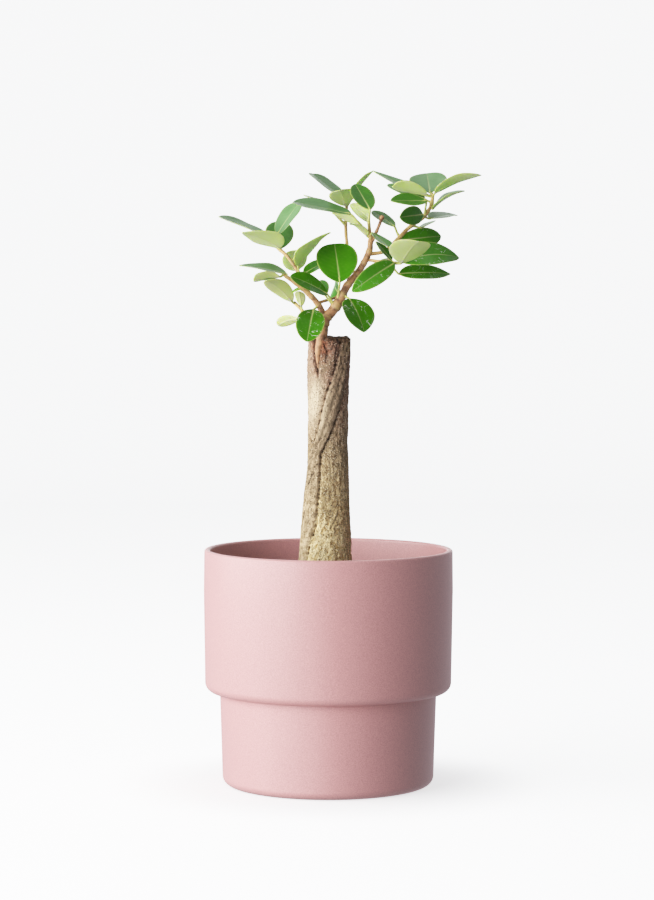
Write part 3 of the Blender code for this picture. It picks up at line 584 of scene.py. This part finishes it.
def pot_inner_profile(clearance):
    """The pot's inside from the middle of its floor up to its widest height."""
    foot_radius = FOOT_RADIUS - WALL - clearance
    inner_corner = CORNER - 0.3 * WALL
    ledge = STEP_HEIGHT + WALL + clearance
    shoulder = SHOULDER_RADIUS - WALL - clearance
    floor = FLOOR + clearance
    profile = [(0.0, floor)]
    profile += arc((foot_radius - inner_corner, floor + inner_corner), inner_corner, -90, 0)
    profile.append((FOOT_TOP_RADIUS - WALL - clearance, ledge))
    profile += arc((shoulder - inner_corner, ledge + inner_corner), inner_corner, -90, 0)
    profile.append((BELLY_RADIUS - WALL - clearance, BELLY_HEIGHT))
    return profile


def make_pot():
    inner_rim = RIM_RADIUS - WALL
    profile = pot_inner_profile(0.0)
    profile += arc((inner_rim + LIP, POT_HEIGHT - LIP), LIP, 180, 90)
    profile += arc((RIM_RADIUS - LIP, POT_HEIGHT - LIP), LIP, 90, 0)
    profile.append((BELLY_RADIUS, BELLY_HEIGHT))
    profile += arc((SHOULDER_RADIUS - CORNER, STEP_HEIGHT + CORNER), CORNER, 0, -90)
    profile.append((FOOT_TOP_RADIUS, STEP_HEIGHT))
    profile += arc((FOOT_RADIUS - CORNER, CORNER), CORNER, 0, -90)
    profile.append((0.0, 0.0))
    pot = turned("stoneware_pot", profile, POT_STEPS)
    pot.data.materials.append(matt_pink_stoneware())
    place_piece(pot, "pink_stoneware", "pot")


def soil_height(x, y):
    """The soil's surface: heaped a little at the trunk, with lumps and crumbs."""
    radius = math.hypot(x, y)
    wall = BELLY_RADIUS - WALL
    place = Vector((x, y, 0.0))
    lumps = 1.6 * noise.noise(place / 0.022) + 1.0 * noise.noise(place / 0.009)
    crumbs = 0.7 * noise.noise(place / 0.004) + 0.5 * noise.noise(place / 0.002)
    return SOIL_EDGE + SOIL_CROWN * (1 - radius / wall) + (lumps + crumbs) * MM


def make_soil():
    wall = BELLY_RADIUS - WALL - 0.2 * MM
    profile = pot_inner_profile(0.2 * MM)[:-1]
    profile += [(wall, SOIL_EDGE)]
    profile += [(wall * (1 - ring / SOIL_RINGS), SOIL_EDGE) for ring in range(1, SOIL_RINGS + 1)]
    soil = turned("soil_bed", profile, SOIL_STEPS)
    for vertex in soil.data.vertices:
        if vertex.co.z > SOIL_EDGE - MM and vertex.co.xy.length < wall - 0.5 * MM:
            vertex.co.z = soil_height(vertex.co.x, vertex.co.y)
    soil.data.materials.append(potting_soil())
    soil.data.shade_smooth()
    place_piece(soil, "potting_soil", "soil")

    draw = random.Random(7)
    crumbs = Shape("tone")
    for _ in range(CRUMBS):
        angle = draw.uniform(0, 2 * math.pi)
        radius = (wall - 3 * MM) * math.sqrt(draw.uniform(0.06, 1.0))
        size = draw.uniform(*CRUMB_SIZE)
        x, y = radius * math.cos(angle), radius * math.sin(angle)
        middle = Vector((x, y, soil_height(x, y) + 0.3 * size))
        turn = Matrix.Rotation(draw.uniform(0, math.pi), 3, Vector((draw.random(), draw.random(), 0.3)).normalized())
        flat = draw.uniform(0.45, 0.9)
        tone = draw.uniform(0.0, 0.9)
        bm = bmesh.new()
        bmesh.ops.create_icosphere(bm, subdivisions=2, radius=size)
        first = len(crumbs.points)
        for vertex in bm.verts:
            rough = 1 + 0.45 * noise.noise(vertex.co / size + middle * 1000)
            offset = turn @ Vector((vertex.co.x * rough, vertex.co.y * flat * rough, vertex.co.z * rough * flat))
            crumbs.add_point(middle + offset, tone=tone)
        for face in bm.faces:
            crumbs.add_face([first + corner.index for corner in face.verts])
        bm.free()
    place_piece(crumbs.make("soil_crumbs", [soil.data.materials[0]]), "potting_soil")


# The trunk

def near_line(angle, height, line, radius):
    """How far a place on the trunk lies to the right of a line of (angle, height) pairs, in metres."""
    line_angle = value_at([(z, a) for a, z in sorted(line, key=lambda pair: pair[1])], height)
    return math.radians((angle - line_angle + 180) % 360 - 180) * radius


def groove(away, width, depth):
    return depth * math.exp(-(away / width) ** 2)


def bark_relief(angle, height, place):
    """How far the bark stands off the plain trunk, how much shade is painted into a crack there and how much it is
    root.
    """
    radius = value_at(TRUNK_RADII, height)
    to_right = near_line(angle, height, ROOT_RIGHT_EDGE, radius)
    to_left = near_line(angle, height, ROOT_LEFT_EDGE, radius)
    relief = 0.0
    root = 0.0
    width = to_left - to_right
    if width < 0:
        width += 2 * math.pi * radius
    if to_left > 0 > to_right:
        share = to_left / width
        root = min(1.0, 6 * math.sin(math.pi * share))
        strands = 0.22 * math.sin(share * 3 * math.pi + 40 * height) + 0.1 * math.sin(share * 7 * math.pi)
        relief += ROOT_RISE * (math.sin(math.pi * share) ** 0.6 + strands * root)
    wander = 0.7 * MM * noise.noise(Vector((3.1, 0.0, height / 0.008)))
    open_share = 0.55 + 0.75 * noise.noise(Vector((0.0, 5.0, height / 0.012)))
    beads = max(0.0, noise.noise(Vector((9.0, 0.0, height / 0.0026)))) ** 0.5
    crack = 0.0
    for away in (to_right + wander, to_left - wander):
        relief -= groove(away, GROOVE_WIDTH * 1.8, GROOVE_DEPTH * 0.5)
        depth = min(1.0, max(0.0, open_share) * 0.6 + 1.1 * beads)
        sharp = groove(away, GROOVE_WIDTH * (0.45 + 0.55 * beads), 1.0) * depth
        relief -= GROOVE_DEPTH * 0.9 * sharp
        crack = max(crack, sharp)
    for line in FINE_CRACKS:
        if line[-1][1] - MM < height < line[0][1] + MM:
            split = groove(near_line(angle, height, line, radius), FINE_CRACK_WIDTH, 0.8)
            relief -= 0.8 * MM * split
            crack = max(crack, split)
    low, high = CLEFT[-1][1], CLEFT[0][1]
    if low - 4 * MM < height < high + 8 * MM:
        away = near_line(angle, height, CLEFT, radius)
        fade = min(1.0, (height - low + 4 * MM) / (8 * MM))
        split = groove(away, CLEFT_WIDTH * fade, 1.0)
        relief -= CLEFT_DEPTH * split * fade
        crack = max(crack, split * fade)
    stretched = Vector((place.x, place.y, place.z * 0.45))
    lumps = 0.65 * noise.noise(stretched / 0.007) + 0.50 * noise.noise(stretched / 0.003)
    grit = 0.45 * noise.noise(place / 0.0017)
    relief += (lumps + grit) * MM * (1 - 0.6 * root)
    return relief, crack, root


def make_trunk():
    trunk = Shape("fissure", "bleach", "root", "height", "sawn", "shoot")
    shoulder = TRUNK_TOP - TOP_WEAR
    top_rings = [0.0, 0.2, 0.45, 0.7, 0.88, 1.0]
    loops = []
    middle = trunk.add_point((value_at(TRUNK_LEAN, TRUNK_TOP), 0.0, TRUNK_TOP - 1.4 * MM), sawn=1.0)
    for row in range(len(top_rings) - 1 + TRUNK_ROWS):
        loop = []
        for step in range(TRUNK_STEPS):
            angle = 360 * step / TRUNK_STEPS - 180
            across, towards = math.sin(math.radians(angle)), -math.cos(math.radians(angle))
            on_top = row < len(top_rings) - 1
            if on_top:
                height = TRUNK_TOP
                plain = TOP_FLAT_RADIUS * top_rings[row + 1]
            else:
                share = (row - len(top_rings) + 1) / (TRUNK_ROWS - 1)
                height = shoulder - (shoulder - TRUNK_FOOT) * share
                plain = value_at(TRUNK_RADII, height)
            place = Vector((plain * across, plain * towards, height))
            relief, crack, root = bark_relief(angle, height, place)
            stand_off = relief * min(1.0, plain / TOP_FLAT_RADIUS) ** 2
            reach = plain + stand_off
            # Painted highlight: how squarely the bark faces the key light, 62 degrees to the left of the front
            facing_key_light = max(0.0, math.cos(math.radians(angle + 62))) ** 1.5
            streak = 0.5 + 0.9 * noise.noise(Vector((across * 2, towards * 2, height / 0.03)))
            fade = min(1.0, max(0.0, (height - 0.280 - 0.012 * streak) / 0.03))
            fade *= min(1.0, max(0.2, (0.352 - height) / 0.02))
            bleach = min(1.0, facing_key_light * max(0.0, streak) * 1.5) * fade
            upper = min(1.0, max(0.0, (height - 0.19) / 0.17))
            to_shoot = math.hypot(near_line(angle, height, [(-26, 0.118), (-22, 0.378)], plain) / 0.010,
                                  min(0.0, height - 0.374) / 0.014)
            shoot = min(1.0, max(0.0, 1.25 - to_shoot + 0.7 * noise.noise(place / 0.004)))
            z = height
            sawn = 0.0
            if on_top:
                torn = noise.noise(place / 0.006) + 0.6 * noise.noise(place / 0.0025)
                z += (torn * 0.9 - 1.2 * (1 - top_rings[row + 1])) * MM
                sawn = 1.0
            elif height > TRUNK_TOP - 7 * MM:
                sawn = (height - TRUNK_TOP + 6 * MM) / (4 * MM) + 1.1 * noise.noise(place / 0.003)
                sawn = min(0.9, max(0.0, sawn))
            loop.append(trunk.add_point((reach * across + value_at(TRUNK_LEAN, height), reach * towards, z),
                                        fissure=crack * 0.9, bleach=bleach * (1 - crack), root=root,
                                        height=upper, sawn=sawn, shoot=shoot))
        loops.append(loop)
    for here in range(TRUNK_STEPS):
        trunk.add_face((middle, loops[0][here], loops[0][(here + 1) % TRUNK_STEPS]))
    for above, below in zip(loops, loops[1:]):
        trunk.bridge(below, above, [0] * TRUNK_STEPS)
    trunk.add_face(loops[-1])
    piece = trunk.make("ficus_trunk", [ficus_bark()])
    place_piece(piece, "grey_bark", "trunk")


# Twigs and leaves

def smooth_route(route, pieces):
    """Places on a smooth curve through a route's own points, each with its radius."""
    points = [Vector(point) * MM for point in route]
    points = [points[0] * 2 - points[1], *points, points[-1] * 2 - points[-2]]
    result = []
    for a, b, c, d in zip(points, points[1:], points[2:], points[3:]):
        for step in range(pieces):
            t = step / pieces
            result.append(0.5 * ((2 * b) + (c - a) * t + (2 * a - 5 * b + 4 * c - d) * t ** 2
                                 + (3 * b - a - 3 * c + d) * t ** 3))
    result.append(points[-2])
    return result


def along(points, share):
    """The place at a share of a route's length."""
    lengths = [(b - a).to_3d().length for a, b in zip(points, points[1:])]
    left = share * sum(lengths)
    for a, b, length in zip(points, points[1:], lengths):
        if left <= length:
            return a.lerp(b, left / length)
        left -= length
    return points[-1].copy()


def grow_tube(shape, points, sides, ages, rings=(), roughness=0.0, finish=2):
    """A closed, slightly uneven tube along places with radii, its wood aged from foot to tip."""
    centres = [point.to_3d() for point in points]
    lengths = [0.0]
    for a, b in zip(centres, centres[1:]):
        lengths.append(lengths[-1] + (b - a).length)
    side = None
    loops = []
    for index, centre in enumerate(centres):
        before, after = centres[max(0, index - 1)], centres[min(len(centres) - 1, index + 1)]
        direction = (after - before).normalized()
        if side is None:
            side = direction.orthogonal().normalized()
        side = (side - direction * side.dot(direction)).normalized()
        other = direction.cross(side)
        share = lengths[index] / lengths[-1]
        ring = max([math.exp(-((share - place) * lengths[-1] / (1.0 * MM)) ** 2) for place in rings] or [0.0])
        loop = []
        for step in range(sides):
            turn = 2 * math.pi * step / sides
            outwards = side * math.cos(turn) + other * math.sin(turn)
            radius = points[index].w * (1 + 0.16 * ring)
            place = centre + outwards * radius
            lump = roughness * (noise.noise(place / 0.004) + 0.5 * noise.noise(place / 0.0015))
            loop.append(shape.add_point(place + outwards * lump * radius, ring=ring * (0.65 - 0.4 * ages[0]),
                                        age=ages[0] + (ages[1] - ages[0]) * share))
        loops.append(loop)
    for first, second in zip(loops, loops[1:]):
        shape.bridge(first, second, [finish] * sides)
    shape.add_face(reversed(loops[0]), finish)
    shape.add_face(loops[-1], finish)


def blade_half_width(share, leaf):
    """Half the blade's width at a share of its length: tapered foot, widest past the middle."""
    widest = FOOT_FULLNESS / (FOOT_FULLNESS + leaf.point)
    fullness = widest ** FOOT_FULLNESS * (1 - widest) ** leaf.point
    shape = max(share, 0.0) ** FOOT_FULLNESS * max(1 - share, 0.0) ** leaf.point
    return leaf.width * MM / 2 * shape / fullness


def blade_place(leaf, foot, along_share, across):
    """A point of the blade's middle surface: along it 0 to 1, and across it -1 to 1."""
    heading = math.radians(leaf.heading)
    lift = math.radians(leaf.lift)
    axis = Vector((math.cos(heading) * math.cos(lift), math.sin(heading) * math.cos(lift), math.sin(lift)))
    up = Vector((0, 0, 1))
    face = (up - axis * up.dot(axis)).normalized()
    side = axis.cross(face)
    roll = math.radians(leaf.roll)
    face, side = face * math.cos(roll) + side * math.sin(roll), side * math.cos(roll) - face * math.sin(roll)
    half = blade_half_width(along_share, leaf)
    half = max(half, STALK_RADIUS if along_share < 0.5 else TIP_HALF_WIDTH)
    length = leaf.length * MM
    rise = leaf.arch * length * 4 * along_share * (1 - along_share)
    rise += BLADE_FOLD * half * (0.45 * abs(across) + 0.55 * across ** 2)
    wave = math.sin(along_share * 9 + leaf.heading) * (1 if across > 0 else -0.7)
    rise += 0.035 * half * wave * across ** 2
    return foot + axis * (length * along_share) + side * (half * across) + face * rise


def row_place(share):
    """Where along the blade a row of its grid lies."""
    first = math.cos(math.pi * FIRST_ROW)
    spaced = math.cos(math.pi * (FIRST_ROW + (1 - FIRST_ROW) * share))
    return (first - spaced) / (first + 1)


def grow_blade(shape, leaf, foot):
    """Both skins of a blade in one closed form: sunk veins above, a raised midrib beneath."""
    columns = [-across for across in reversed(BLADE_COLUMNS[1:])] + BLADE_COLUMNS
    length = leaf.length * MM
    loops = []
    for row in range(BLADE_ROWS + 1):
        share = row_place(row / BLADE_ROWS)
        half = max(blade_half_width(share, leaf), STALK_RADIUS if share < 0.5 else TIP_HALF_WIDTH)
        ahead, behind = min(1.0, share + 0.01), max(0.0, share - 0.01)
        top, under = [], []
        for across in columns:
            middle = blade_place(leaf, foot, share, across)
            run = blade_place(leaf, foot, ahead, across) - blade_place(leaf, foot, behind, across)
            reach = blade_place(leaf, foot, share, min(1.0, across + 0.02))
            reach -= blade_place(leaf, foot, share, max(-1.0, across - 0.02))
            normal = reach.cross(run).normalized()
            if normal.dot(blade_normal(leaf)) < 0:
                normal = -normal
            away = abs(across) * half
            rib_width = (1.05 - 0.7 * share) * MM
            midrib = math.exp(-(away / (rib_width * 0.6)) ** 2)
            phase = (share * length - 0.45 * away) / SIDE_VEIN_SPACING
            off_vein = abs(phase - round(phase)) * SIDE_VEIN_SPACING
            vein = math.exp(-(off_vein / (0.45 * MM)) ** 2) * min(1.0, max(0.0, (half - away) / (2 * MM)))
            margin = math.exp(-((half - away) / (0.55 * MM)) ** 2) if half > 1.5 * MM else 0.0
            thick = BLADE_THICKNESS * (1 - abs(across) ** 10) / 2
            values = dict(midrib=midrib * (1 - 0.5 * share), vein=vein, margin=margin, tone=leaf.tone,
                          marks=leaf.marks, film=leaf.film)
            quilt = 0.10 * MM * (1 - vein) * min(1.0, 4 * (1 - abs(across)))
            sunk = 0.22 * MM * midrib
            raised = 0.45 * MM * midrib * (1 - 0.7 * share)
            if abs(across) == 1.0:
                edge = shape.add_point(middle, **values)
                top.append(edge)
                under.append(edge)
            else:
                top.append(shape.add_point(middle + normal * (thick + quilt - sunk), **values))
                under.append(shape.add_point(middle - normal * (thick + raised), **values))
        loops.append(top + under[-2:0:-1])
    upper = len(columns) - 1
    finishes = [0] * upper + [1] * upper
    for first, second in zip(loops, loops[1:]):
        shape.bridge(second, first, finishes)
    shape.add_face(loops[0], 1)
    shape.add_face(reversed(loops[-1]), 1)


def blade_normal(leaf):
    """The direction that a blade's upper side faces."""
    flat = leaf._replace(point=0.5)
    start = blade_place(flat, Vector(), 0.5, 0.0)
    run = blade_place(flat, Vector(), 0.6, 0.0) - start
    reach = blade_place(flat, Vector(), 0.5, 0.3) - blade_place(flat, Vector(), 0.5, -0.3)
    heading = math.radians(leaf.heading)
    lift = math.radians(leaf.lift)
    axis = Vector((math.cos(heading) * math.cos(lift), math.sin(heading) * math.cos(lift), math.sin(lift)))
    up = Vector((0, 0, 1))
    face = (up - axis * up.dot(axis)).normalized()
    side = axis.cross(face)
    roll = math.radians(leaf.roll)
    normal = reach.cross(run).normalized()
    return normal if normal.dot(face * math.cos(roll) + side * math.sin(roll)) > 0 else -normal


def grow_leaf(shape, leaf, points):
    """A blade on its bent stalk, which runs on under the blade as its midrib."""
    root = along(points, leaf.share).to_3d()
    foot = root + Vector(leaf.stalk) * MM
    end = blade_place(leaf, foot, STALK_REACH, 0.0)
    bend = root.lerp(foot, 0.55) - Vector((0, 0, 0.4 * MM))
    route = [(*(place / MM), radius) for place, radius in (
        (root, 1.35), (bend, 0.9), (foot, 0.85), (end, 0.45))]
    grow_tube(shape, smooth_route(route, 5), 12, (0.12, 0.0))
    grow_blade(shape, leaf, foot)


Twig = namedtuple("Twig", "route leaves ages")


def make_twigs(name, node, *twigs):
    """The wood, stalks and leaves that stand for one leafy stem."""
    shape = Shape("midrib", "vein", "margin", "tone", "marks", "film", "age", "ring")
    for twig in twigs:
        points = smooth_route(twig.route, 8)
        length = sum((b - a).to_3d().length for a, b in zip(points, points[1:]))
        scars = [place * LEAF_SCAR_SPACING / length for place in range(1, int(length / LEAF_SCAR_SPACING))]
        rings = [leaf.share for leaf in twig.leaves if 0.02 < leaf.share < 0.99]
        rings += [scar for scar in scars if scar > 0.35]
        grow_tube(shape, points, 20, twig.ages, rings, roughness=0.16)
        for leaf in twig.leaves:
            grow_leaf(shape, leaf, points)
    piece = shape.make(name, FOLIAGE)
    place_piece(piece, "leaf_green", node)


# Studio

def aim(thing, target):
    """Turns a light or camera at its place towards a target."""
    direction = Vector(target) - thing.location
    thing.rotation_euler = direction.to_track_quat("-Z", "Y").to_euler()


def add_softbox(name, place, width, height, power, target):
    light = bpy.data.lights.new(name, "AREA")
    light.shape = "RECTANGLE"
    light.size = width
    light.size_y = height
    light.energy = power
    lamp = bpy.data.objects.new(name, light)
    lamp.location = place
    lamp.visible_camera = False
    bpy.context.scene.collection.objects.link(lamp)
    aim(lamp, target)


def studio_paper():
    """White paper that glows evenly, with a painted shadow round the pot's foot where it glows less."""
    material, tree, shader = new_material("studio_paper")
    place = add_node(tree, "ShaderNodeTexCoord").outputs["Object"]
    away = add_node(tree, "ShaderNodeVectorMath", {0: place}, operation="LENGTH").outputs["Value"]
    # Painted shadow: the paper shines less within 0.2 m of the pot's foot
    glow_and_painted_shadow = add_node(tree, "ShaderNodeMapRange", {0: away, 1: 0.09, 2: 0.20, 3: 1.05, 4: 1.8},
                    interpolation_type="SMOOTHSTEP")
    tree.links.new(glow_and_painted_shadow.outputs[0], shader.inputs["Emission Strength"])
    shader.inputs["Emission Color"].default_value = srgb("#fdfeff")
    shader.inputs["Base Color"].default_value = srgb("#eeeeee")
    shader.inputs["Roughness"].default_value = 1.0
    shader.inputs["Specular IOR Level"].default_value = 0.0
    return material


def make_studio():
    reach = 4.2
    sweep = 1.2
    wall = [(reach - sweep, 0.0)]
    for step in range(1, 13):
        angle = math.radians(90 * step / 12)
        wall.append((reach - sweep + sweep * math.sin(angle), sweep - sweep * math.cos(angle)))
    wall.append((reach, 4.0))
    material = studio_paper()
    for name, profile in (("studio_floor", [(-reach, 0.0), (reach - sweep, 0.0)]), ("studio_wall", wall)):
        paper = Shape()
        for y, z in profile:
            for x in (-reach, reach) if name == "studio_floor" else (-1.6, 1.6):
                paper.add_point((x, y, z - 0.2 * MM))
        for row in range(len(profile) - 1):
            first = 2 * row
            paper.add_face((first, first + 1, first + 3, first + 2))
        sheet = paper.make(name, [material])
        # The pot takes its fill light from the room, not from the bright paper
        sheet.visible_diffuse = False
        sheet.visible_glossy = name == "studio_wall"

    # A pale room that gives little light of its own, so that the side away from the key light falls off
    world = bpy.data.worlds.new("studio")
    bpy.context.scene.world = world
    world.use_nodes = True
    tree = world.node_tree
    ray = add_node(tree, "ShaderNodeLightPath")
    seen = add_node(tree, "ShaderNodeMapRange", {0: ray.outputs["Is Camera Ray"], 3: 0.30, 4: 2.95})
    # What shines in wax and satin glaze is the white room itself, brighter than its share of the light
    strength = add_node(tree, "ShaderNodeMath", {0: ray.outputs["Is Glossy Ray"], 1: 0.62,
                                                 2: seen.outputs[0]}, operation="MULTIPLY_ADD")
    background = tree.nodes["Background"]
    background.inputs["Color"].default_value = srgb("#f4f8ff")
    tree.links.new(strength.outputs[0], background.inputs["Strength"])
    # The key is a wide window-like panel that stands on the floor, so that it also shines in the satin pot
    add_softbox("key_panel", (-1.82, -0.80, 0.78), 3.6, 1.5, 152, (0, 0, 0.6))
    add_softbox("table_glow", (-0.45, -0.55, 0.02), 0.9, 0.9, 4, (0, 0, 0.45))
    add_softbox("top_softbox", (-0.1, 0.35, 1.8), 1.2, 1.2, 7, (0, 0, 0.25))

    lens = bpy.data.cameras.new("camera")
    lens.sensor_fit = "AUTO"
    lens.sensor_width = 36.0
    lens.lens = FOCAL_LENGTH
    lens.clip_end = 20.0
    camera = bpy.data.objects.new("camera", lens)
    camera.location = CAMERA_PLACE
    level = Matrix.Rotation(math.pi / 2 - CAMERA_TILT, 3, "X")
    camera.rotation_euler = (level @ Matrix.Rotation(CAMERA_ROLL, 3, "Z")).to_euler()
    bpy.context.scene.collection.objects.link(camera)
    bpy.context.scene.camera = camera

    # The camera's response: straight in the shadows, with a soft shoulder up to white
    view = bpy.context.scene.view_settings
    view.view_transform = "Standard"
    view.use_curve_mapping = True
    white = 3.2
    view.curve_mapping.white_level = (white, white, white)
    response = view.curve_mapping.curves[3]
    response.points[-1].location = (1.0, 0.98)
    for light, shown in ((0.05, 0.048), (0.2, 0.195), (0.4, 0.375), (0.7, 0.565), (1.0, 0.69), (1.4, 0.80),
                         (1.9, 0.885), (2.5, 0.945)):
        response.points.new(light / white, shown)
    view.curve_mapping.update()


make_pot()
make_soil()
make_trunk()
FOLIAGE = [waxy_leaf_top(), pale_leaf_underside(), young_ficus_wood()]
make_twigs("limb_right", "stem_right", Twig(RIGHT_ROUTE, RIGHT_LEAVES, (0.95, 0.75)),
           Twig(STUB_ROUTE, [], (0.8, 0.9)))
make_twigs("limb_left", "stem_left", Twig(LEFT_ROUTE, LEFT_LEAVES, (0.9, 0.5)),
           Twig(CROSS_ROUTE, [CROSS_LEAF], (0.7, 0.45)))
make_twigs("twig_upper_left", "stem_upper_left", Twig(UPPER_LEFT_ROUTE, UPPER_LEFT_LEAVES, (0.65, 0.5)))
make_twigs("twig_lower_left", "stem_lower_left", Twig(LOWER_LEFT_ROUTE, LOWER_LEFT_LEAVES, (0.6, 0.3)))
make_twigs("twig_top", "stem_top", Twig(TOP_ROUTE, TOP_LEAVES, (0.6, 0.2)))
make_twigs("twig_far_right", "stem_far_right", Twig(FAR_RIGHT_ROUTE, FAR_RIGHT_LEAVES, (0.55, 0.35)))
make_twigs("twig_lower_right", "stem_lower_right", Twig(LOWER_RIGHT_ROUTE, LOWER_RIGHT_LEAVES, (0.6, 0.2)))
make_twigs("twig_back", "stem_back", Twig(BACK_ROUTE, BACK_LEAVES, (0.7, 0.35)))
make_studio()
